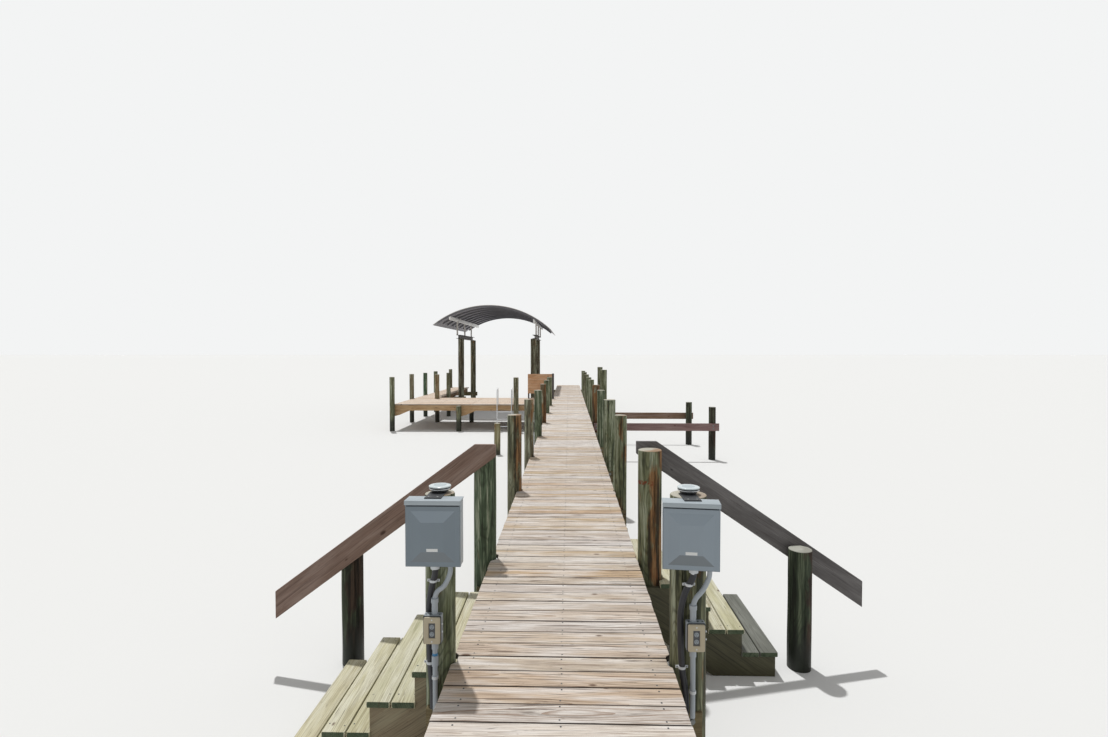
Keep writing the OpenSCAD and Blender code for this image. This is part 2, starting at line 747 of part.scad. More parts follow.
module finger_boards() {
  n = floor((finger_len + board_gap) / (board_w + board_gap));
  pitch = (finger_len - board_gap) / n;
  color(deck_tan) site()
    for (i = [0:n - 1]) plat_board(finger_x, plat_x, finger_y + board_gap + i * pitch);
}
module finger_stringers() {
  color(fresh_pine) site()
    for (x = [finger_x + joist_inset, plat_x - joist_inset])
      translate([-x - board_t / 2, finger_y + seat, joist_z]) cube([board_t, finger_len - seat, joist_h]);
}
module finger_posts() {
  color(green_pine) site()
    for (p = concat(tall_outer, tall_inner)) deck_post(p[0], p[1], p[2]);
}
// Cap boards under the sun deck and the finger pier; the outer ones reach the slip pilings
module deck_caps() {
  from = -deck_post_x - deck_post_d / 2 + 10;
  color(green_pine) site() {
    cap_pair(from, -plat_in - post_inset, finger_bents[0], deck_seat);
    cap_pair(from, -finger_x + deck_post_d + cap_tail, finger_bents[1], deck_seat);
    for (f = [2, 3])
      cap_pair(from, -slip_x - slip_half + slip_d / 2 + cap_tail, finger_bents[f], deck_seat);
  }
}

// Bent tube ladder on the front edge of the sun deck, its grab rails footed on the boards
module swim_ladder() {
  r = 16;
  bend = 150;
  off = 60;
  rung = 250;
  middle = plat_in + plat_w * 0.287;
  straight = ladder_top - bend;
  color("#c9ced3") site() {
    for (s = [-1, 1])
      translate([-middle + s * ladder_w / 2, plat_y - off, 0]) {
        translate([0, 0, -base]) cylinder(r = r, h = base + straight);
        translate([0, bend, straight]) rotate([90, 0, 90]) rotate_extrude(angle = 180)
          translate([bend, 0]) circle(r = r);
        translate([0, 2 * bend, 0]) cylinder(r = r, h = straight);
        translate([0, 2 * bend, 0]) cylinder(r = 3 * r, h = 8);
        translate([-r, 0, -170]) cube([2 * r, off, 60]);
      }
    for (z = [-rung:-rung:rung / 2 - base])
      translate([-middle - ladder_w / 2, plat_y - off, z]) rotate([0, 90, 0]) cylinder(r = r, h = ladder_w);
  }
}

// Bench at the inner corner of the sun deck, its back towards the shore
bench_y = finger_bents[0];
bench_end = plat_in + bench_w;
bench_gap = 3;
leg_w = 90;
module bench_back() {
  n = 4;
  color(red_pine) site()
    for (i = [0:n - 1])
      translate([-bench_end, bench_y, bench_h - joist_h - i * (joist_h + bench_gap)])
        cube([bench_end - edge, board_t, joist_h]);
}
// End and middle frames with back leg, seat bearer and front leg, and the board at the walkway's edge
module bench_frames() {
  depth = 330;
  color(grey_pine) site() {
    for (x = [plat_in, (plat_in + bench_end - board_t) / 2, bench_end - board_t])
      translate([-x - board_t, bench_y + board_t, 0]) {
        cube([board_t, leg_w, bench_h - 15]);
        translate([0, 0, bench_seat_h - leg_w]) cube([board_t, depth, leg_w]);
        translate([0, depth - leg_w, 0]) cube([board_t, leg_w, bench_seat_h]);
      }
    translate([-edge, bench_y, 0]) cube([80, board_t, bench_h + 20]);
  }
}
module bench_seat() {
  color(red_pine) site()
    for (i = [0:1])
      translate([-bench_end, bench_y + board_t + leg_w + i * (board_w + bench_gap), bench_seat_h])
        cube([bench_w, board_w, board_t]);
}

module slip_pilings() {
  color(green_pine) site()
    for (y = slip_bents) {
      dapped_pile(-slip_x - slip_half, y, slip_d, slip_top, deck_seat);
      pile(-slip_x + slip_half, y, slip_d, slip_top);
    }
}
// Beams along the tops of the tall pilings
module slip_beams() {
  w = 200;
  over = post_inset + 100;
  color("#4b4642") site()
    for (s = [-1, 1])
      translate([-slip_x + s * (slip_half + w / 2 - 30) - w / 2, slip_bents[0] - over, slip_top])
        cube([w, slip_bay + 2 * over, beam_h]);
}
module canopy_uprights() {
  w = 60;
  top = slip_top + beam_h;
  color("#57524d") site()
    for (s = [-1, 1], y = upright_y)
      translate([-slip_x + s * rail_off - w / 2, y - w / 2, top]) cube([w, w, rail_z(s) - top]);
}
// Light beams along the slip that carry the arch ribs
module canopy_rails() {
  color("#dcdad6") site()
    for (s = [-1, 1]) {
      a = s * rail_off - rail_t / 2;
      b = s * rail_off + rail_t / 2;
      translate([-slip_x, canopy_y + canopy_len - rib_inset, 0]) rotate([90, 0, 0])
        linear_extrude(height = canopy_len - 2 * rib_inset)
          polygon([[a, rail_z(s)], [b, rail_z(s)], [b, arch_under(b)], [a, arch_under(a)]]);
    }
}
rib_inset = 20;
rib_w = 50;
rib_short = 180;

// Part of a ring over the slip between two radii, ending short of the canopy's edges
module arch(r1, r2, len, short = 0) {
  left = asin((arch_half - arch_lean - short) / arch_r);
  right = asin((arch_half + arch_lean - short) / arch_r);
  translate([-slip_x - arch_lean, 0, arch_cz]) rotate([-90, 0, 0]) rotate(-90 - left)
    rotate_extrude(angle = left + right, $fn = 180) translate([r1, 0]) square([r2 - r1, len]);
}
module canopy_ribs() {
  step = (canopy_len - 2 * rib_inset - rib_w) / (ribs - 1);
  color("#4d4743") site()
    for (i = [0:ribs - 1])
      translate([0, canopy_y + rib_inset + i * step, 0]) arch(rib_ri, rib_ri + rib_h, rib_w, rib_short);
}
module canopy_sheet() {
  color("#5a524e") site() translate([0, canopy_y, 0]) arch(arch_r - sheet_t, arch_r, canopy_len);
}

deck_boards_near();
deck_boards_mid();
deck_boards_far();
stringers_left();
stringers_centre();
stringers_right();
bent_caps();
pilings_left();
pilings_right();
pilings_low();
service_post_left();
service_post_right();
enclosure_left();
enclosure_right();
enclosure_doors();
post_lights();
flex_conduits();
service_pipes();
outlet_boxes();
treads_left();
treads_right();
step_carriages_left();
step_carriages_right();
rail_left();
rail_right();
rail_posts();
mooring_beams();
mooring_posts();
mooring_piles();
platform_boards();
platform_joists();
platform_fascia();
platform_posts();
knee_braces();
finger_boards();
finger_stringers();
finger_posts();
deck_caps();
swim_ladder();
bench_back();
bench_frames();
bench_seat();
slip_pilings();
slip_beams();
canopy_uprights();
canopy_rails();
canopy_ribs();
canopy_sheet();
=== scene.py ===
# A timber jetty: weathered boards on treated pilings, service posts, steps, a sun deck and a covered slip.
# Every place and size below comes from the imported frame, in metres.
import math

import bmesh
import bpy
import numpy as np
from mathutils import Euler, Matrix, Vector, noise


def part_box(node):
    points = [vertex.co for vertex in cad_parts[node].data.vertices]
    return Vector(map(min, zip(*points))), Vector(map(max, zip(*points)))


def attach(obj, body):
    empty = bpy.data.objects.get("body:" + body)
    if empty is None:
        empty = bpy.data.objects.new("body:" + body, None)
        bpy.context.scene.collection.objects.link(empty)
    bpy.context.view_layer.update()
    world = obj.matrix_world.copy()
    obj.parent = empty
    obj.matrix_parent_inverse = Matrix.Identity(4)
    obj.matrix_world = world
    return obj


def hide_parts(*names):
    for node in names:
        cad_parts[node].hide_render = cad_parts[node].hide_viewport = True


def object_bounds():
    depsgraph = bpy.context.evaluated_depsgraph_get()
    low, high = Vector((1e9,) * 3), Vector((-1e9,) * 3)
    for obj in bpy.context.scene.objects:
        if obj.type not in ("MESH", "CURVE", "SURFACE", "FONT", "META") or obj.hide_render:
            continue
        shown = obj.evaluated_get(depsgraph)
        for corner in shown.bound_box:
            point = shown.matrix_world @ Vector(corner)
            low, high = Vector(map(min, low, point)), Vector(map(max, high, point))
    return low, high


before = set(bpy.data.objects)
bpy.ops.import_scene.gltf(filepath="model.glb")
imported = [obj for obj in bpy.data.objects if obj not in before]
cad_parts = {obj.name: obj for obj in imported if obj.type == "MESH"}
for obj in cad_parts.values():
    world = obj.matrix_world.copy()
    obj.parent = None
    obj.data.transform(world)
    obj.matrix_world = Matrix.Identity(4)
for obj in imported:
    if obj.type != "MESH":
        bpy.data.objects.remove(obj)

cadLow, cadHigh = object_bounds()
scene = bpy.context.scene
print("frame loaded:", len(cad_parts), "nodes")

# Levels, lines and directions that the whole scene shares
deckLow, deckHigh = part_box("deck_boards_near")
deckTop = deckHigh[2]
walkMid = (deckLow[0] + deckHigh[0]) / 2
shoreEnd = deckLow[1]
upward = Vector((0, 0, 1))
shoreward = Vector((0, -1, 0))
rightward = Vector((1, 0, 0))

# The camera stands on the walkway's line, before the shore end, at a person's eye height
viewpoint = {
    "imageWidth": 1108,
    "imageHeight": 737,
    "focal": 579.0,       # in pixels of the picture
    "vanishX": 569.0,     # where the walkway's lines meet
    "vanishY": 354.0,
    "eyeHeight": 1.71,
    "right": 0.04,
    "back": 2.35,
    "sensorMm": 36.0,
    "farthest": 5000.0,
}


def addCamera(v):
    data = bpy.data.cameras.new("photoCamera")
    data.sensor_width = v["sensorMm"]
    data.lens = v["sensorMm"] * v["focal"] / v["imageWidth"]
    data.clip_end = v["farthest"]
    cam = bpy.data.objects.new("photoCamera", data)
    yaw = math.atan((v["vanishX"] - v["imageWidth"] / 2) / v["focal"])
    pitch = math.atan((v["imageHeight"] / 2 - v["vanishY"]) / v["focal"])
    cam.location = (walkMid + v["right"], shoreEnd - v["back"], deckTop + v["eyeHeight"])
    cam.rotation_euler = Euler((math.radians(90) - pitch, 0, yaw))
    scene.collection.objects.link(cam)
    scene.camera = cam


addCamera(viewpoint)
print("camera set")


# Materials

def toLinear(hexColor):  # sRGB hex to the linear colour that the shaders take
    parts = [int(hexColor[i:i + 2], 16) / 255 for i in (1, 3, 5)]
    return [c / 12.92 if c <= 0.04045 else ((c + 0.055) / 1.055) ** 2.4 for c in parts] + [1.0]


def addNode(tree, kind, settings, out=0):
    # A setting is a property of the node, or fills an input: a number, a hex colour, or another node's output
    node = tree.nodes.new("ShaderNode" + kind)
    for key, value in settings.items():
        if isinstance(value, bpy.types.NodeSocket):
            tree.links.new(value, node.inputs[key])
        elif key == "stops":  # a ramp's places and colours
            while len(node.color_ramp.elements) < len(value):
                node.color_ramp.elements.new(0.5)
            for element, (place, color) in zip(node.color_ramp.elements, value):
                element.position = place
                element.color = toLinear(color)
        elif isinstance(key, int) or not hasattr(node, key):
            node.inputs[key].default_value = toLinear(value) if isinstance(value, str) else value
        else:
            setattr(node, key, value)
    return node.outputs[out]


def newMaterial(name, settings):
    mat = bpy.data.materials.new(name)
    mat.use_nodes = True
    shader = mat.node_tree.nodes["Principled BSDF"]
    for key, value in settings.items():
        shader.inputs[key].default_value = value
    return mat, mat.node_tree, shader


def grown(tree, *patterns):  # cloudy patterns, by place, size in mm on three axes, detail and roughness
    found = []
    for place, sizeMm, detail, rough in patterns:
        perMetre = [1000 / mm for mm in sizeMm]
        sized = addNode(tree, "VectorMath", {"operation": "MULTIPLY", 0: place, 1: perMetre})
        found.append(addNode(tree, "TexNoise", {"Vector": sized, "Scale": 1.0, "Detail": detail,
                                                "Roughness": rough}, "Fac"))
    return found


def layered(tree, color, *layers):
    # Colours one over another: each has its pattern, the values where it starts and is full, its depth and
    # its colour, and any masks that hold it back
    for pattern, start, full, depth, paint, *masks in layers:
        shown = addNode(tree, "MapRange", {"Value": pattern, "From Min": start, "From Max": full,
                                           "To Max": depth})
        for mask in masks:
            shown = addNode(tree, "Math", {"operation": "MULTIPLY", 0: shown, 1: mask})
        color = addNode(tree, "Mix", {"data_type": "RGBA", 0: shown, 6: color, 7: paint}, 2)
    return color


def surface(tree, shader, color, rough, height, strength, reliefMm):
    bump = addNode(tree, "Bump", {"Height": height, "Strength": strength, "Distance": reliefMm / 1000})
    for key, source in (("Base Color", color), ("Roughness", rough), ("Normal", bump)):
        tree.links.new(source, shader.inputs[key])


def ringScale(ringMm):  # the wave texture repeats every 2 pi / 20
    return 2 * math.pi / (20 * ringMm / 1000)


# What every wooden piece carries: its place in the log, a random tone, and how far round its side a point is
carried = (("grain", "Vector"), ("tone", "Fac"), ("side", "Fac"))


def sawnPine(name, looks):
    # Rough-sawn and planed pine: the grain is solid, so sides and sawn ends show the same rings as the faces.
    # The eye gets brown latewood lines that sweep along the board, dark streaks, knots and cracks, a tone of
    # its own per board, and a bleached, dry skin. The rings are twice as coarse as real, to show at all.
    mat, tree, shader = newMaterial(name, {"Specular IOR Level": 0.25})
    grain, tone, side = [addNode(tree, "Attribute", {"attribute_name": key}, out) for key, out in carried]
    many = addNode(tree, "Math", {"operation": "MULTIPLY", 0: tone, 1: 7.3})
    drawn = addNode(tree, "Math", {"operation": "FRACT", 0: many})  # a second random number for each board
    worn = addNode(tree, "MapRange", {"Value": drawn, "From Min": 0.15, "From Max": 0.95,
                                      "To Min": looks["leastWorn"]})
    sway, = grown(tree, (grain, (769.2, 142.9, 142.9), 2.0, 0.5))
    swayed = addNode(tree, "VectorMath", {"operation": "MULTIPLY_ADD", 0: sway.node.outputs["Color"],
                                          1: (0.0, 0.05, 0.07), 2: grain})
    rings = addNode(tree, "TexWave", {"wave_type": "RINGS", "rings_direction": "X", "wave_profile": "SAW",
                                      "Vector": swayed, "Scale": ringScale(looks["ringMm"]),
                                      "Distortion": 0.6, "Detail": 1.0}, "Fac")
    fibre, streak, patch, speck, cracks = grown(
        tree, (grain, (333.3, looks["fibreMm"], looks["fibreMm"]), 5.0, 0.65),
        (swayed, (909.1, looks["streakMm"], looks["streakMm"]), 4.0, 0.6),
        (grain, (588.2, 71.43, 71.43), 3.0, 0.6), (grain, (35.714, 8.333, 8.333), 4.0, 0.7),
        (swayed, (625.0, 7.692, 7.692), 2.0, 0.5))
    board = addNode(tree, "ValToRGB", {"Fac": tone, "stops": looks["boards"]})
    late = addNode(tree, "MapRange", {"Value": patch, "From Min": 0.66, "From Max": 0.4,
                                      "To Min": 0.25 * looks["ringDepth"], "To Max": looks["ringDepth"]})
    along, across = looks["knotCellMm"]
    perMetre = (1000 / along, 1000 / across, 1.0)
    cells = addNode(tree, "VectorMath", {"operation": "MULTIPLY", 0: grain, 1: perMetre})
    knots = addNode(tree, "TexVoronoi", {"voronoi_dimensions": "2D", "Vector": cells, "Scale": 1.0,
                                         "Randomness": 1.0}, "Color")
    chance = addNode(tree, "SeparateColor", {0: knots})
    knotSize = addNode(tree, "MapRange", {"Value": chance, "From Min": 1.0 - looks["knots"], "To Max": 0.09})
    away = knots.node.outputs["Distance"]
    knotEdge = addNode(tree, "Math", {"operation": "SUBTRACT", 0: knotSize, 1: away})
    facing = addNode(tree, "SeparateXYZ", {0: addNode(tree, "NewGeometry", {}, "Normal")}, 1)
    turnedTo = addNode(tree, "Math", {"operation": "ABSOLUTE", 0: facing})
    toNext = addNode(tree, "MapRange", {"Value": turnedTo, "From Min": 0.1, "From Max": 0.45})
    color = layered(
        tree, board,
        (patch, 0.46, 0.62, looks["bleachDepth"], looks["bleach"]),
        (rings, 0.55, 0.9, 1.0, looks["latewood"], late, worn),
        (fibre, 0.46, 0.68, looks["fibreDepth"], looks["fibreDark"]),
        (streak, 0.565, 0.63, looks["streakDepth"], looks["streak"], worn),
        (patch, 0.4, 0.26, looks["stainDepth"], looks["stain"]),
        (knotEdge, -0.03, 0.03, 0.85, looks["knotColor"]),
        (cracks, 0.68, 0.73, 0.8, looks["crackColor"]),
        (speck, 0.6, 0.72, looks["speckDepth"], looks["stain"]),
        # eased edges and sides that turn to the next board are darkened: painted shade in the gaps
        (side, 0.02, 0.3, looks["gapShade"], looks["gapShadeColor"], toNext))
    rough = addNode(tree, "MapRange", {"Value": fibre, "From Min": 0.3, "From Max": 0.7,
                                       "To Min": looks["rough"], "To Max": looks["rough"] + 0.12})
    sunk = addNode(tree, "MapRange", {"Value": cracks, "From Min": 0.68, "From Max": 0.73, "To Max": -1.28})
    relief = addNode(tree, "Math", {"operation": "MULTIPLY_ADD", 0: fibre, 1: 0.8, 2: sunk})
    surface(tree, shader, color, rough, relief, 0.5, looks["reliefMm"])
    return mat


def treatedPile(name, looks):
    # Peeled round pine, pressure treated: green copper salts over brown wood, paler where the sun bleached it,
    # brown on the side that the salts left, black-green at the foot, partly damp and partly painted shade,
    # with pale end grain on top.
    mat, tree, shader = newMaterial(name, {"Specular IOR Level": 0.3})
    grain, tone, side = [addNode(tree, "Attribute", {"attribute_name": key}, out) for key, out in carried]
    apart = addNode(tree, "VectorMath", {"operation": "MULTIPLY", 0: tone, 1: (31.0, 17.0, 5.0)})
    shift = addNode(tree, "VectorMath", {"operation": "ADD", 0: grain, 1: apart})
    streak, fibre, cloud, contour, blot = grown(
        tree, (shift, (666.7, 41.667, 41.667), 5.0, 0.62), (shift, (111.11, 4.7619, 4.7619), 4.0, 0.7),
        (shift, (333.33, 111.11, 111.11), 4.0, 0.6), (shift, (666.7, 142.86, 142.86), 1.0, 0.4),
        (shift, (26.316, 26.316, 26.316), 2.0, 0.5))
    turns = addNode(tree, "Math", {"operation": "MULTIPLY", 0: contour, 1: looks["contours"]})
    wave = addNode(tree, "Math", {"operation": "SINE", 0: turns})
    lean = addNode(tree, "Math", {"operation": "MULTIPLY_ADD", 0: cloud, 1: 1.9, 2: side})
    height = addNode(tree, "SeparateXYZ", {0: grain})
    ragged = addNode(tree, "Math", {"operation": "MULTIPLY_ADD", 0: cloud, 1: 0.3, 2: height})
    # the dark foot: partly damp wood, partly painted shade
    wetAndShadedFoot = addNode(tree, "MapRange", {"Value": ragged, "From Min": looks["wetAndShadedFootTop"] + 0.1,
                                      "From Max": looks["wetAndShadedFootTop"] - 0.12, "To Max": 0.88})
    band = addNode(tree, "Math", {"operation": "COMPARE", 0: height, 1: looks["markHeight"], 2: 0.017})
    chosen = addNode(tree, "Math", {"operation": "COMPARE", 0: tone, 1: looks["markTone"], 2: 0.002})
    sideways = height.node.outputs[1]
    markSide = addNode(tree, "MapRange", {"Value": sideways, "From Min": 0.03, "From Max": 0.015})
    wood = addNode(tree, "ValToRGB", {"Fac": tone, "stops": looks["piles"]})
    brown = layered(tree, looks["brown"], (streak, 0.57, 0.42, 1.0, looks["brownDark"]),
                    (fibre, 0.48, 0.68, 0.7, looks["brownDark"]))
    bark = layered(
        tree, wood,
        (streak, 0.51, 0.62, looks["paleDepth"], looks["pale"]),
        (streak, 0.48, 0.38, looks["deepDepth"], looks["deep"]),
        (wave, 0.35, 1.0, looks["lineDepth"], looks["deep"]),
        (fibre, 0.5, 0.72, 0.5, looks["dark"]),
        (lean, 1.55, 1.75, 0.92, brown),
        (cloud, 0.62, 0.72, looks["rustDepth"], looks["rust"]),
        (blot, 0.43, 0.5, 0.9, looks["markColor"], markSide, band, chosen))
    barkWithDarkFoot = addNode(tree, "Mix", {"data_type": "RGBA", 0: wetAndShadedFoot, 6: bark, 7: looks["wetAndShadedFoot"]}, 2)
    rings = addNode(tree, "TexWave", {"wave_type": "RINGS", "rings_direction": "X", "Vector": grain,
                                      "Scale": ringScale(looks["endRingMm"]), "Distortion": 3.0,
                                      "Detail": 2.0, "Detail Scale": 0.05}, "Fac")
    sawnTop = layered(tree, looks["endGrain"], (rings, 0.0, 1.0, 0.45, looks["endRing"]),
                      (cloud, 0.4, 0.6, 0.5, looks["endGrey"]), (side, 0.25, 0.7, 0.7, looks["endBrown"]))
    facing = addNode(tree, "SeparateXYZ", {0: addNode(tree, "NewGeometry", {}, "Normal")}, 2)
    color = layered(tree, barkWithDarkFoot, (facing, 0.45, 0.75, 1.0, sawnTop))
    rough = addNode(tree, "MapRange", {"Value": wetAndShadedFoot, "From Max": 0.85, "To Min": 0.82, "To Max": 0.42})
    surface(tree, shader, color, rough, fibre, 0.6, looks["reliefMm"])
    return mat


coatLooks = {"dust": 0.35, "runs": 0.0, "rough": 0.42, "metallic": 0.0, "dustMm": 166.67, "runsMm": 18.182,
             "runLongMm": 333.3, "peelMm": 1.42857, "reliefMm": 0.6}


def coated(name, color, dustColor, dark, **changes):
    # A thin even skin, sprayed, dipped, moulded or drawn on metal and plastic: one colour with a faint
    # orange-peel, dust in broad soft patches, and on some a few dark runs down the sides.
    looks = dict(coatLooks, **changes)
    mat, tree, shader = newMaterial(name, {"Metallic": looks["metallic"], "Specular IOR Level": 0.5})
    place = addNode(tree, "TexCoord", {}, "Object")
    dust, runs, peel = grown(tree, (place, [looks["dustMm"]] * 3, 5.0, 0.6),
                             (place, (looks["runsMm"], looks["runsMm"], looks["runLongMm"]), 4.0, 0.5),
                             (place, [looks["peelMm"]] * 3, 1.0, 0.5))
    skin = layered(tree, color, (dust, 0.4, 0.7, looks["dust"], dustColor),
                   (runs, 0.55, 0.8, looks["runs"], dark))
    rough = addNode(tree, "MapRange", {"Value": dust, "From Min": 0.3, "From Max": 0.7,
                                       "To Min": looks["rough"], "To Max": looks["rough"] + 0.15})
    surface(tree, shader, skin, rough, peel, 0.08, looks["reliefMm"])
    return mat


deckLooks = {
    "boards": [(0.0, "#c9a67c"), (0.16, "#e6e1d9"), (0.32, "#cdb899"), (0.5, "#eeebe6"), (0.68, "#cfb28b"),
               (0.84, "#e2ddd8"), (1.0, "#cdbfae")],
    "latewood": "#8c6b51", "ringMm": 12.0, "ringDepth": 0.8, "leastWorn": 0.3,
    "gapShade": 0.0, "gapShadeColor": "#2c241d",
    "fibreMm": 4.5, "fibreDark": "#7b675a", "fibreDepth": 0.62,
    "streakMm": 22.0, "streak": "#55453a", "streakDepth": 0.85,
    "bleach": "#f2eeea", "bleachDepth": 0.6, "stain": "#7f7067", "stainDepth": 0.5,
    "knots": 0.12, "knotCellMm": (312.5, 153.85), "knotColor": "#5b4130", "crackColor": "#3a2c22",
    "speckDepth": 0.35, "rough": 0.72, "reliefMm": 1.2,
}
# the walkway and sun deck boards darken along their gaps: painted shade
weatheredDeck = sawnPine("sawnWeatheredPine", dict(deckLooks, gapShade=0.9, bleachDepth=0.8))
trodDeck = sawnPine("sawnTrodPine", dict(
    deckLooks, gapShade=0.9, leastWorn=0.5, ringDepth=0.95, fibreDepth=0.75))
sunDeckPine = sawnPine("sawnSunDeckPine", dict(
    deckLooks, gapShade=0.5, boards=[(0.0, "#e0c5a8"), (0.3, "#ecd9c5"), (0.6, "#e4cab0"), (1.0, "#eddecd")],
    bleach="#f2e9df", streakDepth=0.5, ringDepth=0.6))
joistPine = sawnPine("sawnJoistPine", dict(
    deckLooks, boards=[(0.0, "#8a6c50"), (0.5, "#9a7a5a"), (1.0, "#7c6650")], bleach="#a28c74",
    bleachDepth=0.4, latewood="#5f4632", streak="#453526", stain="#4c3d2e", stainDepth=0.6,
    fibreDark="#54412f"))
treadPine = sawnPine("pressureTreatedTreadPine", dict(
    deckLooks, boards=[(0.0, "#bcbb98"), (0.35, "#d3cdb0"), (0.7, "#c6c4a2"), (1.0, "#d2ceb8")],
    bleach="#e2e0cf", latewood="#97855f", fibreDark="#8b825e", streak="#7a6c4e", streakDepth=0.6,
    stain="#8b8d66", stainDepth=0.45, ringDepth=0.6, knots=0.15))
wetTread = sawnPine("soakedTreadPine", dict(
    deckLooks, boards=[(0.0, "#696b64"), (1.0, "#74756d")], bleach="#8d8e86", bleachDepth=0.5,
    latewood="#5b5b51", fibreDark="#55554c", streak="#45453d", stain="#5e6156", stainDepth=0.6, rough=0.55))
# the tread ends are dark green: partly algae, partly painted shade
algaeAndShadeTreadEnd = sawnPine("crosscutTreadPineAlgaeAndShade", dict(
    deckLooks, boards=[(0.0, "#4c5a44"), (1.0, "#55604a")], bleach="#66705a", bleachDepth=0.5,
    latewood="#333d2c", fibreDark="#2a3325", streak="#252c20", stain="#2c3526", knots=0.0))
carriagePine = sawnPine("sawnCarriagePine", dict(
    deckLooks, boards=[(0.0, "#857962"), (1.0, "#92836b")], bleach="#a09a80", bleachDepth=0.5,
    latewood="#6f5949", fibreDark="#5c5040", streak="#4c4335", stain="#626e52", stainDepth=0.9))
# the right flight's carriages are dark green-brown: painted shade
shadedCarriagePine = sawnPine("paintedShadeSawnCarriagePine", dict(
    deckLooks, boards=[(0.0, "#444532"), (1.0, "#4f4d39")], bleach="#62614a", bleachDepth=0.4,
    latewood="#332d22", fibreDark="#2c271d", streak="#231f17", stain="#333a28", stainDepth=0.7, rough=0.5))
redRail = sawnPine("planedRedBrownPine", dict(
    deckLooks, boards=[(0.0, "#826b5f"), (1.0, "#8d766a")], bleach="#a39086", bleachDepth=0.55, ringMm=15.0,
    latewood="#5a453b", fibreDark="#523f36", streak="#48372e", stain="#55423a", ringDepth=0.4, fibreDepth=0.5,
    streakDepth=0.5, knots=0.4, knotColor="#3d2a22", speckDepth=0.5))
greyRail = sawnPine("planedGreyPine", dict(
    deckLooks, boards=[(0.0, "#605d5c"), (1.0, "#6c6968")], bleach="#8a8786", bleachDepth=0.5, ringMm=15.0,
    latewood="#474443", fibreDark="#403d3c", streak="#393635", stain="#494544", ringDepth=0.4, fibreDepth=0.5,
    streakDepth=0.5, knots=0.4, knotColor="#2a2524", speckDepth=0.5))
purpleRail = sawnPine("planedMooringPine", dict(
    deckLooks, boards=[(0.0, "#8d7270"), (1.0, "#836a55")], bleach="#a08b84", bleachDepth=0.5,
    latewood="#57413a", fibreDark="#4d3a32", streak="#46332c", stain="#5c4236", ringDepth=0.4, knots=0.2))
fasciaPine = sawnPine("sawnFasciaPine", dict(
    deckLooks, boards=[(0.0, "#c2a17a"), (1.0, "#b8946d")], bleach="#d4ba93", bleachDepth=0.5,
    latewood="#8f6d49", fibreDark="#85674a", streak="#735740", stain="#6a5038", stainDepth=0.5))
benchPine = sawnPine("planedBenchPine", dict(
    deckLooks, boards=[(0.0, "#dab08a"), (0.5, "#d2a682"), (1.0, "#e0ba96")], bleach="#e6c8a8",
    bleachDepth=0.5, latewood="#a67651", fibreDark="#9c7152", streak="#835f45", stain="#8a684c",
    stainDepth=0.5))
capPine = sawnPine("sawnCapPine", dict(
    deckLooks, boards=[(0.0, "#6f6a4e"), (0.5, "#7c6a4c"), (1.0, "#5f5b45")], bleach="#8f8666",
    bleachDepth=0.4, latewood="#4b4430", fibreDark="#3b3526", streak="#2f2a1e", stain="#3d3728",
    stainDepth=0.6))
pileLooks = {
    "piles": [(0.0, "#556650"), (0.35, "#747759"), (0.65, "#77715e"), (1.0, "#745f45")],
    "pale": "#b3b9a2", "paleDepth": 0.8, "deep": "#2b3023", "deepDepth": 0.9, "contours": 110.0,
    "lineDepth": 0.45, "brown": "#946c44", "brownDark": "#33271a", "rust": "#7b4d2b", "rustDepth": 0.5,
    "dark": "#24251a", "wetAndShadedFootTop": 0.36, "wetAndShadedFoot": "#1c2018",
    "endGrain": "#cbc7b8", "endRing": "#9a9484", "endGrey": "#adaba0", "endBrown": "#94673f",
    "markTone": 0.36, "markHeight": 1.56, "markColor": "#74361d", "endRingMm": 9.0, "reliefMm": 3.0,
}
greenPile = treatedPile("treatedRoundPine", pileLooks)
darkPile = treatedPile("soakedRoundPine", dict(
    pileLooks, piles=[(0.0, "#33402f"), (0.3, "#37382b"), (0.6, "#3a352a"), (1.0, "#4d4334")], pale="#67705a",
    deep="#14150e", brown="#45342a", brownDark="#1a130d", rust="#432e20", dark="#12120d", wetAndShadedFootTop=0.42,
    endGrain="#b9bab0", endRing="#8d8e82", endBrown="#8f8d83"))
slipPile = treatedPile("olderRoundPine", dict(
    pileLooks, piles=[(0.0, "#6f6d50"), (0.6, "#6b624d"), (1.0, "#5d5040")], wetAndShadedFootTop=0.5))
# the sun deck posts' dark foot reaches higher: painted shade under the sun deck
deckPile = treatedPile("sunDeckRoundPine", dict(
    pileLooks, piles=[(0.0, "#4d6b52"), (0.3, "#757659"), (0.6, "#837962"), (1.0, "#94805f")], deepDepth=0.7,
    wetAndShadedFootTop=0.6))
newerPile = treatedPile("newerRoundPine", dict(
    pileLooks, piles=[(0.0, "#8d8a67"), (1.0, "#968a68")], pale="#b9b592", deepDepth=0.45, lineDepth=0.25))

greyEnamel = coated("greyEnamelSteel", "#8b97a1", "#939ea7", "#7d8890")
# a darker copy of the grey enamel for the left box and its door: painted shade
shadedLeftEnamel = coated("paintedShadeGreyEnamelSteel", "#77838c", "#808b92", "#6b767e")
# a lighter copy of the grey enamel for the lids and for faces turned to +x: painted light
paintedLightEnamel = coated("paintedLightEnamelLid", "#a3adb3", "#b0b8bc", "#929ba2")
# a darker enamel for the doors' lower slopes: painted shade
lowerSlopeShadeEnamel = coated("paintedShadeLowerEnamel", "#727a80", "#7b8387", "#626a70")
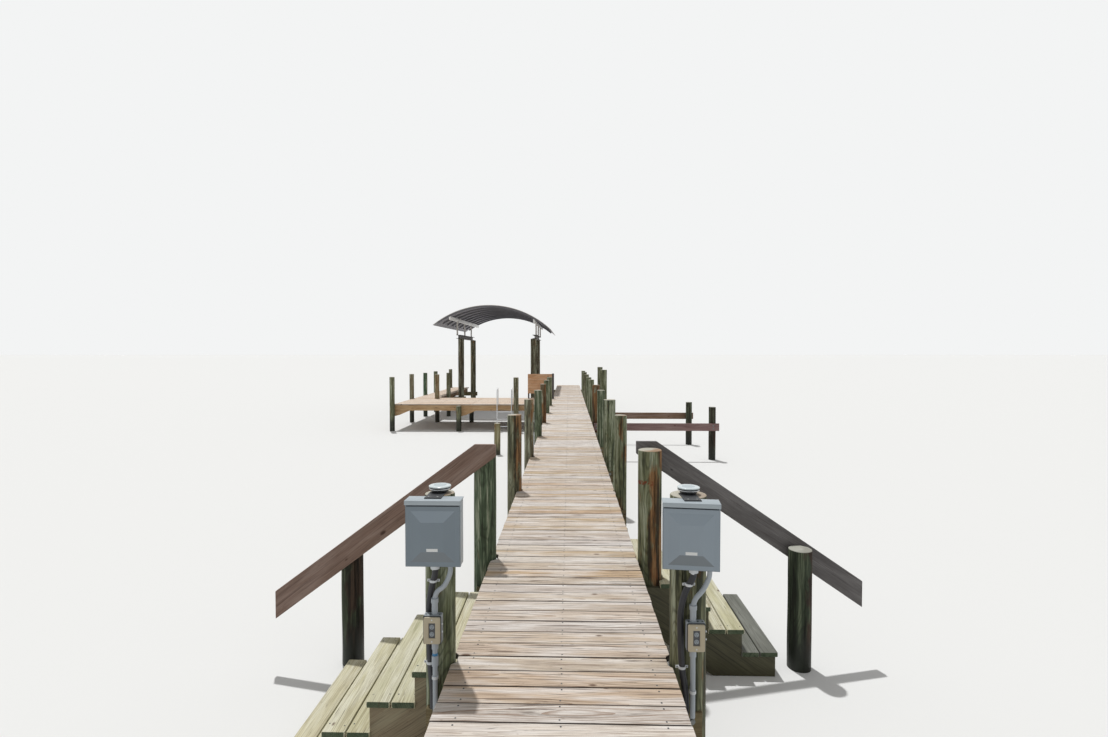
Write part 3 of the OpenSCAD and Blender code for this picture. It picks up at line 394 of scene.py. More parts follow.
# one dark material for the outlet gaskets and the deck screws, and for painted shade: the shadow line under the
# enclosure lids and the receptacle slots
seamShade = coated("darkSealAndPaintedShade", "#33383c", "#43474a", "#25282b")
labelWhite = coated("bareWhitePlate", "#dfe1e0", "#d3d5d4", "#b5b7b6", rough=0.3)
jacketBlack = coated("blackPvcJacket", "#232529", "#43434a", "#16171a", rough=0.4)
greyPvc = coated("greyPvcPipe", "#9ea6ad", "#b3b8ba", "#858d94", runs=0.3)
strapWhite = coated("whiteNylonClamp", "#d3d7da", "#c3c6c7", "#9b9fa1")
bandBlue = coated("blueTape", "#3f7fae", "#5b8fb3", "#2f6590")
tanCover = coated("tanThermoplastic", "#b3a88f", "#beb59e", "#978b70")
outletGrey = coated("greyCastBox", "#8d959b", "#9fa5a8", "#6f767b")
darkFace = coated("darkReceptacle", "#4b4d50", "#5c5e60", "#36383a")
lampLens = coated("paleLampLens", "#cdd8da", "#dfe6e6", "#9fb0b3", rough=0.15, dust=0.6)
lampGlass = coated("blueGreyLampGlass", "#a3b3b8", "#bccacd", "#7f9096", rough=0.12, dust=0.6)
lampRim = coated("brushedLampRim", "#c9ccce", "#dfe0e0", "#8f9294", rough=0.3, metallic=0.6)
lampDark = coated("blackLampBase", "#2b2d30", "#3c3e40", "#1b1c1e")
drawnTube = coated("drawnAluminiumTube", "#dfe1e3", "#d0d3d4", "#b0b3b5", metallic=0.5, rough=0.35)
paleBeam = coated("palePaintedAluminium", "#c9c5bf", "#b8b3ab", "#8f8a83", runs=0.3, rough=0.5)
darkSteel = coated("darkPaintedSteel", "#544e4b", "#6d6662", "#393532", runs=0.4, rough=0.55)
canopyCoat = coated("brownGreyRoofCoat", "#bcb3b0", "#c8c0bc", "#978e8a", rough=0.6, dust=0.5)
canopyInside = coated("slateGreyRoofInside", "#96959b", "#a3a2a7", "#77767c", rough=0.65, dust=0.5)
ribSteel = coated("greyPaintedRibSteel", "#67666b", "#7b7a7e", "#4c4b50", runs=0.3, rough=0.55)
millRail = coated("chalkyMillAluminium", "#f1f1ef", "#e6e6e3", "#c9c9c5", runs=0.25, rough=0.45)
galvanised = coated("galvanisedSteel", "#7f8180", "#999b99", "#565755", runs=0.5, metallic=0.7, rough=0.5)
print("materials made")


# Solids and pieces

def solidsOf(name):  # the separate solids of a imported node, their split corners welded
    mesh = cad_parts[name].data
    flat = np.empty(len(mesh.vertices) * 3)
    mesh.vertices.foreach_get("co", flat)
    weld = 20000  # steps per metre
    stepped = np.round(flat.reshape(-1, 3) * weld).astype(np.int64)
    keys, inverse = np.unique(stepped, axis=0, return_inverse=True)
    inverse = inverse.reshape(-1)
    points = keys / weld
    parent = list(range(len(points)))

    def top(i):
        while parent[i] != i:
            parent[i] = parent[parent[i]]
            i = parent[i]
        return i

    faces = []
    for polygon in mesh.polygons:
        corners = list(dict.fromkeys(int(inverse[v]) for v in polygon.vertices))
        if len(corners) > 2:
            faces.append(corners)
            for c in corners[1:]:
                parent[top(c)] = top(corners[0])
    groups = {}
    for face in faces:
        groups.setdefault(top(face[0]), []).append(face)
    result = []
    for group in groups.values():
        used = sorted({c for face in group for c in face})
        number = {c: i for i, c in enumerate(used)}
        pts = points[used]
        result.append({"points": pts, "faces": [[number[c] for c in face] for face in group],
                       "low": pts.min(axis=0), "high": pts.max(axis=0)})
    result.sort(key=lambda s: tuple(np.round(s["low"][[1, 0, 2]], 3)))
    return result


def allSolids(nodeNames):
    return [solid for nodeName in nodeNames for solid in solidsOf(nodeName)]


def newBag():
    return {"points": [], "faces": [], "grain": [], "tone": [], "side": [], "slots": []}


def intoBag(bag, points, faces, grain=None, tone=0.5, slot=0, side=None):
    start = len(bag["points"])
    bag["points"].extend([tuple(p) for p in points])
    bag["faces"].extend([[start + i for i in face] for face in faces])
    bag["grain"].extend([tuple(g) for g in (points if grain is None else grain)])
    bag["tone"].extend([tone] * len(points))
    bag["side"].extend([0.0] * len(points) if side is None else side)
    bag["slots"].extend([slot] * len(faces) if isinstance(slot, int) else slot)


def makePiece(name, bag, materials, replaced=(), sharp=38.0):
    mesh = bpy.data.meshes.new(name)
    mesh.from_pydata(np.clip(bag["points"], cadLow, cadHigh).tolist(), [], bag["faces"])
    for key, kind, field in (("grain", "FLOAT_VECTOR", "vector"), ("tone", "FLOAT", "value"),
                             ("side", "FLOAT", "value")):
        mesh.attributes.new(key, kind, "POINT").data.foreach_set(field, np.array(bag[key]).ravel())
    for material in materials if isinstance(materials, list) else [materials]:
        mesh.materials.append(material)
    mesh.polygons.foreach_set("material_index", bag["slots"])
    mesh.polygons.foreach_set("use_smooth", [True] * len(mesh.polygons))
    mesh.set_sharp_from_angle(angle=math.radians(sharp))
    mesh.update()
    piece = bpy.data.objects.new(name, mesh)
    scene.collection.objects.link(piece)
    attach(piece, "root")
    if replaced:
        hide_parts(*replaced)


def facingAxes(out):  # right, up and out of a face that stands upright
    right = upward.cross(out).normalized()
    return right, out.cross(right).normalized(), out.normalized()


def between(rows, wide, closed=True):  # the faces between rows of points that are all equally long
    return [[j * wide + i, j * wide + (i + 1) % wide, (j + 1) * wide + (i + 1) % wide, (j + 1) * wide + i]
            for j in range(rows - 1) for i in range(wide if closed else wide - 1)]


def slab(bag, centre, axes, size, chamfer, slot=0):  # a thin block on a face, its front edges cut back
    right, up, out = axes
    points = []
    for inset, depth in ((0.0, 0.0), (0.0, size[2] - chamfer), (chamfer, size[2])):
        for sx, sy in ((-1, -1), (1, -1), (1, 1), (-1, 1)):
            points.append(centre + right * sx * (size[0] / 2 - inset) + up * sy * (size[1] / 2 - inset)
                          + out * depth)
    intoBag(bag, points, [[3, 2, 1, 0], [8, 9, 10, 11]] + between(3, 4), slot=slot)


def turned(bag, centre, out, profile, sides, slots=0):  # a turned shape from radii and the heights along out
    out = out.normalized()
    right = out.orthogonal().normalized()
    up = out.cross(right)
    points = []
    for radius, height in profile:
        for i in range(sides):
            a = 2 * math.pi * (i + 0.5) / sides
            points.append(centre + (right * math.cos(a) + up * math.sin(a)) * radius + out * height)
    rows = len(profile)
    faces = between(rows, sides)
    faces.append([(rows - 1) * sides + i for i in range(sides)])
    faces.append([i for i in reversed(range(sides))])
    if isinstance(slots, int):
        slots = [slots] * (rows + 1)
    bands = [slots[j] for j in range(rows - 1) for _ in range(sides)]
    intoBag(bag, points, faces, slot=bands + list(slots[-2:]))


def addHead(bag, place, out, head, slot=0, sides=10):
    radius, shoulder, crown, high = head  # shoulder is a height, and crown the radius of the top
    turned(bag, place, out, ((radius, 0.0), (radius, shoulder), (crown, high)), sides, slot)


screwLooks = {"radius": 0.0048, "proud": 0.0009, "sunk": 0.002, "recess": 0.0002, "sides": 8,
              "fromEdge": 0.3, "fromEnd": 0.07, "leastLap": 0.02, "reach": 0.012, "jitter": 0.004}
boltLooks = {"washer": 0.022, "washerThick": 0.003, "head": (0.0135, 0.0072, 0.0108, 0.009), "fromEnd": 0.03,
             "apart": 0.004, "leastLap": 0.04}
screws = newBag()
bolts = newBag()


def addScrew(place, out, s=screwLooks):
    turned(screws, place, out, ((s["radius"], -s["sunk"]), (s["radius"], s["proud"]),
                                (s["radius"] / 2, s["recess"])), s["sides"])


def addBolt(place, out, b=boltLooks):
    turned(bolts, place, out, ((b["washer"], 0.0), (b["washer"], b["washerThick"])), 14)
    addHead(bolts, place + out * b["washerThick"], out, b["head"], sides=6)


def heightsAt(solid, x):  # lowest and highest point of a solid where it crosses one x
    found = []
    for face in solid["faces"]:
        for i, j in zip(face, face[1:] + face[:1]):
            p, q = solid["points"][i], solid["points"][j]
            if (p[0] - x) * (q[0] - x) <= 0 and abs(p[0] - q[0]) > 1e-6:
                found.append(p[2] + (q[2] - p[2]) * (x - p[0]) / (q[0] - p[0]))
    return (min(found), max(found)) if found else (0, 0)


def boltsThrough(beams, posts, spread, b=boltLooks):  # beams across the jetty are bolted to posts they touch
    for beam in allSolids(beams):
        for post in allSolids(posts):
            x = (post["low"][0] + post["high"][0]) / 2
            apart = max(beam["low"][1] - post["high"][1], post["low"][1] - beam["high"][1])
            if not beam["low"][0] + b["fromEnd"] < x < beam["high"][0] - b["fromEnd"] or apart > b["apart"]:
                continue
            low, high = heightsAt(beam, x)
            if post["high"][2] < low + b["leastLap"]:
                continue
            toNear = (beam["low"][1] + beam["high"][1]) < (post["low"][1] + post["high"][1])
            y = beam["low"][1] if toNear else beam["high"][1]
            for share in (0.5 - spread, 0.5 + spread):
                addBolt(Vector((x, y, low + (min(high, post["high"][2]) - low) * share)),
                        shoreward if toNear else -shoreward)


def shapedSolid(solid, easing, step):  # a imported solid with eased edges, cut across its length
    bm = bmesh.new()
    made = [bm.verts.new(p) for p in solid["points"]]
    for face in solid["faces"]:
        try:
            bm.faces.new([made[i] for i in face])
        except ValueError:
            pass  # a face that lies there twice
    bmesh.ops.recalc_face_normals(bm, faces=bm.faces)
    bmesh.ops.dissolve_limit(bm, angle_limit=math.radians(1.0), verts=bm.verts, edges=bm.edges)
    longest = max(bm.edges, key=lambda e: round(e.calc_length(), 5))
    along = (longest.verts[1].co - longest.verts[0].co).normalized()
    if max(along, key=abs) < 0:
        along = -along
    largest = max((f for f in bm.faces if abs(f.normal.dot(along)) < 0.1),
                  key=lambda f: round(f.calc_area(), 6))
    up = largest.normal.copy()
    if max(up, key=abs) < 0:
        up = -up
    up = (up - along * up.dot(along)).normalized()
    across = up.cross(along)
    if easing:
        sharpEdges = [e for e in bm.edges
                      if len(e.link_faces) == 2 and e.calc_face_angle(0) > math.radians(22)]
        bmesh.ops.bevel(bm, geom=sharpEdges, offset=easing, segments=2, profile=0.5, affect="EDGES",
                        clamp_overlap=True)
    reach = [v.co.dot(along) for v in bm.verts]
    count = int((max(reach) - min(reach)) / step)
    for i in range(1, count + 1):
        place = min(reach) + (max(reach) - min(reach)) * i / (count + 1)
        bmesh.ops.bisect_plane(bm, geom=bm.verts[:] + bm.edges[:] + bm.faces[:], plane_co=along * place,
                               plane_no=along)
    axes = Matrix((along, across, up))
    middle = Vector((solid["low"] + solid["high"]) / 2)
    points = [v.co.copy() for v in bm.verts]
    bm.verts.index_update()
    faces = [[v.index for v in f.verts] for f in bm.faces]
    bm.free()
    return points, faces, axes, middle


# Where in the log each board was cut, in metres, and how far the grain runs out of line with it
logLooks = {"along": 40, "across": 0.09, "depth": (-0.1, -0.02), "turn": 0.03, "dip": 0.02}


def timber(name, nodeNames, material, looks, seed, supports=(), tones=(), pick=None):
    # Sawn lumber: every solid of some nodes, one by one, with screws into the supports that carry it
    rng = np.random.default_rng(seed)
    bag = newBag()
    carriers = allSolids(supports)
    log = logLooks
    fromEdge, jitter = screwLooks["fromEdge"], screwLooks["jitter"]
    for number, solid in enumerate(allSolids(nodeNames)):
        points, faces, axes, middle = shapedSolid(solid, looks["round"], looks["step"])
        tone = float(rng.random())
        if number < len(tones):
            tone = tones[number]
        shift = Vector((rng.uniform(-log["along"], log["along"]), rng.uniform(-log["across"], log["across"]),
                        rng.uniform(*log["depth"])))
        tilt = Vector((0, rng.uniform(-log["turn"], log["turn"]), rng.uniform(-log["dip"], log["dip"])))
        lift, cup, bow = [rng.uniform(-1, 1) * looks[key] for key in ("lift", "cup", "bow")]
        grow = rng.uniform(0.3, 1) * looks["grow"]
        half = [max(abs(c), 0.01) / 2 for c in axes @ Vector(solid["high"] - solid["low"])]
        back = axes.transposed()

        def bend(local):
            return lift + cup * ((local.y / half[1]) ** 2 - 0.5) + bow * ((local.x / half[0]) ** 2 - 0.5)

        ends = [abs(sum(((axes @ (points[i] - middle)).x for i in f)) / len(f)) > half[0] - 0.001
                for f in faces]
        grain, side = [], []
        for i, p in enumerate(points):
            local = axes @ (p - middle)
            grain.append(local + shift + tilt * local.x)
            side.append(min(1.0, max(0.0, (half[2] - local.z) / (2 * looks["round"]))))
            points[i] = p + back @ Vector((0, grow * local.y / half[1], bend(local)))
        chosen = pick(solid) if pick else 0
        intoBag(bag, points, faces, grain, tone, [1 if e and looks["ends"] else chosen for e in ends], side)
        for carrier in carriers:
            low = np.maximum(solid["low"], carrier["low"])
            high = np.minimum(solid["high"], carrier["high"])
            gap = abs(carrier["high"][2] - solid["low"][2])
            if min(high[0] - low[0], high[1] - low[1]) < screwLooks["leastLap"] or gap > screwLooks["reach"]:
                continue
            for sign in (-1, 1):
                local = axes @ (Vector((low + high) / 2) - middle)
                local.y = sign * half[1] * (1 - fromEdge)
                local.z = half[2]
                place = middle + back @ local
                if low[0] < place.x < high[0] and low[1] < place.y < high[1]:
                    addScrew(place + Vector((rng.uniform(-jitter, jitter), rng.uniform(-jitter, jitter),
                                             bend(local))), upward)
        if looks["endScrews"]:
            for end, sign in ((-1, -1), (-1, 1), (1, -1), (1, 1)):
                local = Vector((end * (half[0] - screwLooks["fromEnd"] * rng.uniform(0.8, 1.2)),
                                sign * half[1] * (1 - fromEdge), half[2]))
                addScrew(middle + back @ local + back @ Vector((0, 0, bend(local))), back @ upward)
    makePiece(name, bag, material, nodeNames)


# Round piles: oval and lobed by shares of the radius, rough by metres, with drying cracks and a sawn top.
# heart is where the log's middle lies beside the pile's own
pileSettings = {"around": 36, "step": 0.09, "cracks": 4, "edge": 0.008, "oval": 0.012, "lobes": 0.008,
                "rough": 0.0025, "crackHalf": 0.006, "crackWide": 0.002, "crackLong": (0.3, 1.2),
                "crackDeep": (0.005, 0.012), "heart": (0.012, -0.01), "deepest": 0.62, "sawnLean": 0.02}


def addPile(bag, low, high, p, rng, foot, tone, sideAngle, sideDepth, slot):
    mid = (Vector(low) + Vector(high)) / 2
    radius = max(high[0] - low[0], high[1] - low[1]) / 2
    cracks = [(rng.uniform(0, 2 * math.pi), low[2] + rng.uniform(0.0, 0.75) * (high[2] - low[2]),
               rng.uniform(*p["crackLong"]), rng.uniform(*p["crackDeep"])) for _ in range(p["cracks"])]
    angles = list(np.linspace(0, 2 * math.pi, p["around"], endpoint=False))
    for crack in cracks:
        angles += [(crack[0] + d / radius) % (2 * math.pi) for d in (-p["crackHalf"], 0.0, p["crackHalf"])]
    angles = sorted(angles)
    heights = list(np.linspace(low[2], high[2] - p["edge"], max(4, int((high[2] - low[2]) / p["step"]))))
    wobble = rng.uniform(0, 2 * math.pi, 3)
    lean = rng.uniform(-1, 1, 2)
    points, grain, side = [], [], []

    def ring(z, inset):
        for a in angles:
            r = radius - inset
            r -= radius * p["oval"] * (1 + math.sin(2 * a + wobble[0] + 0.5 * z))
            r -= radius * p["lobes"] * (1 + math.sin(5 * a + wobble[1] - 1.3 * z))
            spot = Vector((3 * math.cos(a) + 9 * tone, 3 * math.sin(a), 2.5 * z))
            r -= p["rough"] * (1 + noise.noise(spot))
            for angle, start, length, depth in cracks:
                gap = abs((a - angle + math.pi) % (2 * math.pi) - math.pi) * radius
                if gap < p["crackWide"] and start < z < start + length:
                    share = min(p["deepest"], (z - start) / length)
                    r -= depth * math.sin(math.pi * share / p["deepest"] / 2)
            x, y = r * math.cos(a), r * math.sin(a)
            sawn = p["sawnLean"] * lean[0] * x if inset > 0 and z > high[2] - 0.02 else 0.0
            points.append((mid.x + x, mid.y + y, z + sawn))
            grain.append((z - foot, x + p["heart"][0], y + p["heart"][1]))
            side.append(sideDepth * (0.5 + 0.5 * math.cos(a - sideAngle)))

    for z in heights:
        ring(z, 0.0)
    ring(high[2] - p["edge"] * 0.4, p["edge"] * 0.3)
    ring(high[2] - 0.001, p["edge"])
    ring(high[2] - 0.002, radius * 0.5)
    n = len(angles)
    last = len(points)
    faces = between(last // n, n)
    points.append((mid.x, mid.y, high[2] - 0.003))
    grain.append((high[2] - foot, *p["heart"]))
    side.append(0.0)
    faces += [[last - n + i, last - n + (i + 1) % n, last] for i in range(n)]
    faces.append(list(range(n - 1, -1, -1)))
    intoBag(bag, points, faces, grain, tone, slot, side)


def piles(name, nodeNames, material, seed, marks=(), second=()):
    # marks gives the first piles their tone, the side that is brown in degrees from +x, and how far it reaches.
    # second lists the piles that take the second material
    rng = np.random.default_rng(seed)
    bag = newBag()
    for number, solid in enumerate(allSolids(nodeNames)):
        drawn = (float(rng.random()), float(rng.uniform(-180, 180)), float(rng.uniform(0.1, 0.7)))
        tone, angle, depth = marks[number] if number < len(marks) else drawn
        addPile(bag, solid["low"], solid["high"], pileSettings, rng, cadLow[2], tone, math.radians(angle),
                depth, 1 if number in second else 0)
    makePiece(name, bag, material, nodeNames, sharp=50.0)


def plain(name, nodeName, materials, edge=0.0015, sharp=38.0, choose=None):
    # Metal and plastic solids with eased edges. choose picks a face's material by solid, centre and normal
    bag = newBag()
    for solid in solidsOf(nodeName):
        points, faces = shapedSolid(solid, edge, 50.0)[:2]
        picked = 0
        if choose:
            picked = []
            for face in faces:
                corners = [points[i] for i in face]
                normal = (corners[1] - corners[0]).cross(corners[2] - corners[1]).normalized()
                picked.append(choose(solid, sum(corners, Vector()) / len(corners), normal))
        intoBag(bag, points, faces, slot=picked)
    makePiece(name, bag, materials, [nodeName], sharp=sharp)


boardLooks = {"round": 0.006, "step": 0.28, "lift": 0.001, "cup": 0.0012, "bow": 0.001, "grow": 0.0013,
              "ends": False, "endScrews": False}
frameLooks = dict(boardLooks, round=0.004, step=0.8, lift=0.0, cup=0.0, bow=0.0, grow=0.0)
treadLooks = dict(boardLooks, ends=True, endScrews=True)
walkSupports = ["stringers_left", "stringers_centre", "stringers_right"]
joists = walkSupports + ["finger_stringers", "platform_joists"]


def wetStep(solid):  # the lowest tread of the right flight is soaked and grey
    return 2 if solid["low"][0] > walkMid and solid["high"][2] < 0.3 else 0


for name, nodeName, material, seed, supports in (
        ("deckBoardsNear", "deck_boards_near", trodDeck, 11, walkSupports),
        ("deckBoardsMid", "deck_boards_mid", weatheredDeck, 12, walkSupports),
        ("deckBoardsFar", "deck_boards_far", weatheredDeck, 13, walkSupports),
        ("platformBoards", "platform_boards", sunDeckPine, 14, ["platform_joists"]),
        ("fingerBoards", "finger_boards", sunDeckPine, 15, ["finger_stringers"])):
    timber(name, [nodeName], material, boardLooks, seed, supports)
print("boards laid")
timber("stringers", joists, joistPine, frameLooks, 21)
timber("fascia", ["platform_fascia", "knee_braces"], fasciaPine, frameLooks, 22)
timber("capBoards", ["bent_caps", "deck_caps"], capPine, frameLooks, 23)
# the tread ends take the dark green end material: algae and painted shade
timber("treads", ["treads_left", "treads_right"], [treadPine, algaeAndShadeTreadEnd, wetTread], treadLooks,
       24, pick=wetStep)
timber("stepCarriagesLeft", ["step_carriages_left"], carriagePine, frameLooks, 25)
# the right flight's carriages take the dark material: painted shade
timber("stepCarriagesRight", ["step_carriages_right"], shadedCarriagePine, frameLooks, 31)
timber("railLeft", ["rail_left"], redRail, frameLooks, 26)
timber("railRight", ["rail_right"], greyRail, frameLooks, 27)
timber("mooringBeams", ["mooring_beams"], purpleRail, frameLooks, 28, tones=(0.0, 1.0))
timber("benchBoards", ["bench_back", "bench_seat"], benchPine,
       dict(frameLooks, endScrews=True), 29)
timber("benchFrames", ["bench_frames"], greyRail, frameLooks, 30)
print("lumber cut")

# Each marked pile has its tone, the direction of its brown side, and how far that side reaches round
leftMarks = [(0.02, -30, 0.15), (0.5, -25, 0.86), (0.6, -20, 0.78), (0.12, 180, 0.3), (0.95, -40, 0.8),
             (0.2, 0, 0.3), (0.3, 20, 0.4)]
rightMarks = [(0.36, -42, 0.84), (0.3, -60, 0.62), (0.22, 200, 0.3), (0.1, 180, 0.2), (0.95, -100, 0.85),
              (0.3, 0, 0.4), (0.25, 180, 0.3), (0.45, -90, 0.5), (0.4, 0, 0.4), (0.3, 0, 0.3)]
sunDeckMarks = [(0.3, 200, 0.3), (0.3, 0, 0.4), (0.5, -60, 0.5), (0.3, 0, 0.5), (0.6, 0, 0.3), (1.0, 0, 0.2),
                (0.0, 90, 0.1), (0.4, 0, 0.3), (0.25, 0, 0.2), (0.45, 0, 0.4)]
servicePosts = ["service_post_left", "service_post_right"]
sunDeckPosts = ["platform_posts", "finger_posts"]
piles("pilingsLeft", ["pilings_left"], greenPile, 41, leftMarks)
piles("pilingsRight", ["pilings_right"], greenPile, 47, rightMarks)
piles("pilingsLow", ["pilings_low"], greenPile, 48)
piles("servicePosts", servicePosts, greenPile, 42, [(0.25, -60, 0.55), (0.42, -20, 0.5)])
piles("stubPosts", ["rail_posts"], darkPile, 43, [(0.2, -40, 0.85), (0.1, -30, 0.85)])
piles("mooringPosts", ["mooring_posts"], darkPile, 44, [(0.6, -30, 0.7), (0.4, -100, 0.6)])
piles("mooringPiles", ["mooring_piles"], [greenPile, newerPile], 49,
      [(0.7, 0, 0.1), (0.35, 0, 0.3), (0.4, 0, 0.3)], second=(0,))
piles("sunDeckPosts", sunDeckPosts, deckPile, 45, sunDeckMarks)
piles("slipPilings", ["slip_pilings"], slipPile, 46)
print("pilings driven")
boltsThrough(["bent_caps"], ["pilings_left", "pilings_right", "pilings_low"] + servicePosts, 0.24)
boltsThrough(["deck_caps"], sunDeckPosts, 0.24)
boltsThrough(["mooring_beams"], ["mooring_posts", "pilings_right"], 0.2)
boltsThrough(["platform_fascia"], ["platform_posts"], 0.2)
makePiece("deckScrews", screws, seamShade, sharp=30.0)
makePiece("capBolts", bolts, galvanised, sharp=30.0)
print("screws and bolts set:", len(screws["faces"]) + len(bolts["faces"]), "faces")


# Enclosures: a lid in a lighter enamel that is painted light, a dark strip under it that is a painted shadow
# line, a bare plate low on the raised panel, small side screws
boxLooks = {"plate": (0.060, 0.016, 0.0012), "plateUp": 0.010, "plateEdge": 0.0005, "seam": 0.0035,
            "seamThick": 0.006, "seamShort": 0.002, "lid": 0.022, "screw": (0.005, 0.002, 0.003, 0.003),
            "screwIn": 0.03, "screwSunk": 0.02, "screwProud": 0.003}


# the lid's top band and the faces turned to +x take the lighter enamel: painted light
def lidOf(solid, centre, normal):
    return 1 if centre.z > solid["high"][2] - boxLooks["lid"] or normal.x > 0.9 else 0


def slopeOf(solid, centre, normal):  # the doors' lower slope takes a darker enamel, painted shade; the left door's flat faces a darker copy, painted shade; faces turned to +x the lighter enamel, painted light
    if normal.x > 0.9:
        return 2
    if abs(normal.z) < 0.12 or abs(normal.z) > 0.6:
        # the left door's flat faces take the darker copy: painted shade
        return 3 if solid["low"][0] < walkMid else 0
    return 1 if normal.z < 0 else 0


# the left box's body takes the darker copy: painted shade
plain("enclosureLeft", "enclosure_left", [shadedLeftEnamel, paintedLightEnamel], choose=lidOf)
plain("enclosureRight", "enclosure_right", [greyEnamel, paintedLightEnamel], choose=lidOf)
plain("enclosureDoors", "enclosure_doors", [greyEnamel, lowerSlopeShadeEnamel, paintedLightEnamel, shadedLeftEnamel],
      0.002, 8.0, slopeOf)


def raisedPanel(solid):  # the front panel of a door: the smallest face with all of the door behind it
    best = None
    flush = 2e-4
    for face in solid["faces"]:
        corners = [Vector(solid["points"][i]) for i in face[:3]]
        normal = (corners[1] - corners[0]).cross(corners[2] - corners[1]).normalized()
        reach = [Vector(p).dot(normal) - corners[0].dot(normal) for p in solid["points"]]
        flat = [Vector(p) for p, r in zip(solid["points"], reach) if abs(r) < flush]
        if normal.y < -0.9 and max(reach) < flush:
            spread = max((a - b).length for a in flat for b in flat)
            if best is None or spread < best[0]:
                best = (spread, normal, flat)
    return best[1], best[2]


def addDoorDetails(b):
    bag = newBag()
    for solid, side in zip(solidsOf("enclosure_doors"), (-1, 1)):  # the right box's door, then the left one's
        normal, flat = raisedPanel(solid)
        axes = facingAxes(normal)
        middle = sum(flat, Vector()) / len(flat)
        low = min(p.z for p in flat)
        slab(bag, Vector((middle.x, middle.y, low + b["plateUp"])), axes, b["plate"], b["plateEdge"])
        foot, doorTop = float(solid["low"][2]), float(solid["high"][2])
        screwHeights = [doorTop - b["screwIn"], foot + b["screwIn"]][:2 if side < 0 else 1]
        reach = max(abs((Vector(p) - middle).dot(axes[0])) for p in solid["points"])
        back = min((Vector(p) - middle).dot(axes[2]) for p in solid["points"])
        # a dark strip between the door's top and the lid: a painted shadow line
        centre = Vector((middle.x, middle.y, doorTop + b["seam"] / 2)) + axes[2] * (back + 0.001)
        slab(bag, centre, axes, (2 * (reach - b["seamShort"]), b["seam"], b["seamThick"]), 0.001, 1)
        for z in screwHeights:
            spot = Vector((middle.x, middle.y, z)) + axes[0] * side * (reach + b["screwProud"])
            addHead(bag, spot + axes[2] * (back - b["screwSunk"]), axes[0] * side, b["screw"], 2)
    makePiece("enclosureDetails", bag, [labelWhite, seamShade, galvanised])


addDoorDetails(boxLooks)

# Post lights: a dark bracket with two screws, a dark base ring, a bright rim and a pale domed lens. profile
# gives each ring above the neck by shares of the disc's radius and of the height, and its band's material
lightLooks = {
    "plate": 0.090, "plateHigh": 0.14, "plateEdge": 0.0015, "fromLeft": 0.008, "disc": 0.061, "around": 40,
    "neck": 0.036, "neckLow": 0.002, "neckHigh": 0.2,
    "screw": (0.006, 0.002, 0.004, 0.0032), "screwApart": 0.024, "screwIn": 0.014,
    "profile": ((0.78, 0.22, 0), (0.8, 0.44, 1), (0.93, 0.48, 1), (0.97, 0.54, 1), (0.97, 0.64, 0),
                (0.9, 0.68, 0), (0.9, 0.78, 0), (1.0, 0.8, 2), (1.0, 0.92, 2), (0.93, 0.98, 2),
                (0.6, 0.99, 3), (0.2, 1.0, 3)),
}


def addPostLights(l):
    bag = newBag()
    for solid in solidsOf("post_lights"):
        low, high = Vector(solid["low"]), Vector(solid["high"])
        centre = Vector(((low.x + high.x) / 2, high.y - l["disc"], low.z))
        tall = high.z - low.z
        plateHigh = tall * l["plateHigh"]
        plateMid = Vector((low.x + l["plate"] / 2 + l["fromLeft"], (low.y + centre.y) / 2, low.z))
        slab(bag, plateMid, (rightward, -shoreward, upward), (l["plate"], centre.y - low.y, plateHigh),
             l["plateEdge"])
        for sign in (-1, 1):
            screw = Vector((plateMid.x + sign * l["screwApart"], low.y + l["screwIn"], low.z + plateHigh))
            addHead(bag, screw, upward, l["screw"], 4)
        rings = [(l["neck"], l["neckLow"]), (l["neck"], tall * l["neckHigh"])]
        rings += [(l["disc"] * wide, tall * share) for wide, share, slot in l["profile"]]
        slots = [0, 0] + [slot for wide, share, slot in l["profile"]] + [0]
        turned(bag, centre, upward, rings, l["around"], slots)
    makePiece("postLights", bag, [lampDark, lampRim, lampLens, lampGlass, galvanised],
              ["post_lights"], 30.0)


addPostLights(lightLooks)

# Conduits: black jacket with a pale bushing at the box, nylon straps and a blue tape band
conduitLooks = {"bushing": 0.030, "strapHeights": (1.392, 0.938), "strapHalf": 0.007, "strapProud": 0.003,
                "strapEdge": 0.001, "tab": 0.016, "tabThick": 0.003, "tabOut": 0.006, "tabIn": 0.008,
                "screw": (0.0035, 0.001, 0.002, 0.002), "flexRadius": 0.017, "pipeRadius": 0.0135,
                "bandHeight": 1.0, "bandHalf": 0.008, "bandProud": 0.0008, "around": 24,
                "clampHeights": (0.874, 0.826), "clampHalf": 0.012}


def bushingOf(solid, centre, normal):
    return 1 if centre.z > solid["high"][2] - conduitLooks["bushing"] else 0


def clampOf(solid, centre, normal):
    wanted = conduitLooks["clampHeights"][0 if solid["low"][0] < walkMid else 1]
    return 1 if abs(centre.z - wanted) < conduitLooks["clampHalf"] else 0


plain("flexConduits", "flex_conduits", [jacketBlack, strapWhite], 0.0, 50.0, bushingOf)
plain("servicePipes", "service_pipes", [greyPvc, strapWhite], 0.0, 50.0, clampOf)


def tubeMiddle(solid, z, count=12):  # the middle of a tube at one height
    near = sorted(solid["points"], key=lambda p: abs(p[2] - z))[:count]
    return Vector((float(np.mean([p[0] for p in near])), float(np.mean([p[1] for p in near])), z))


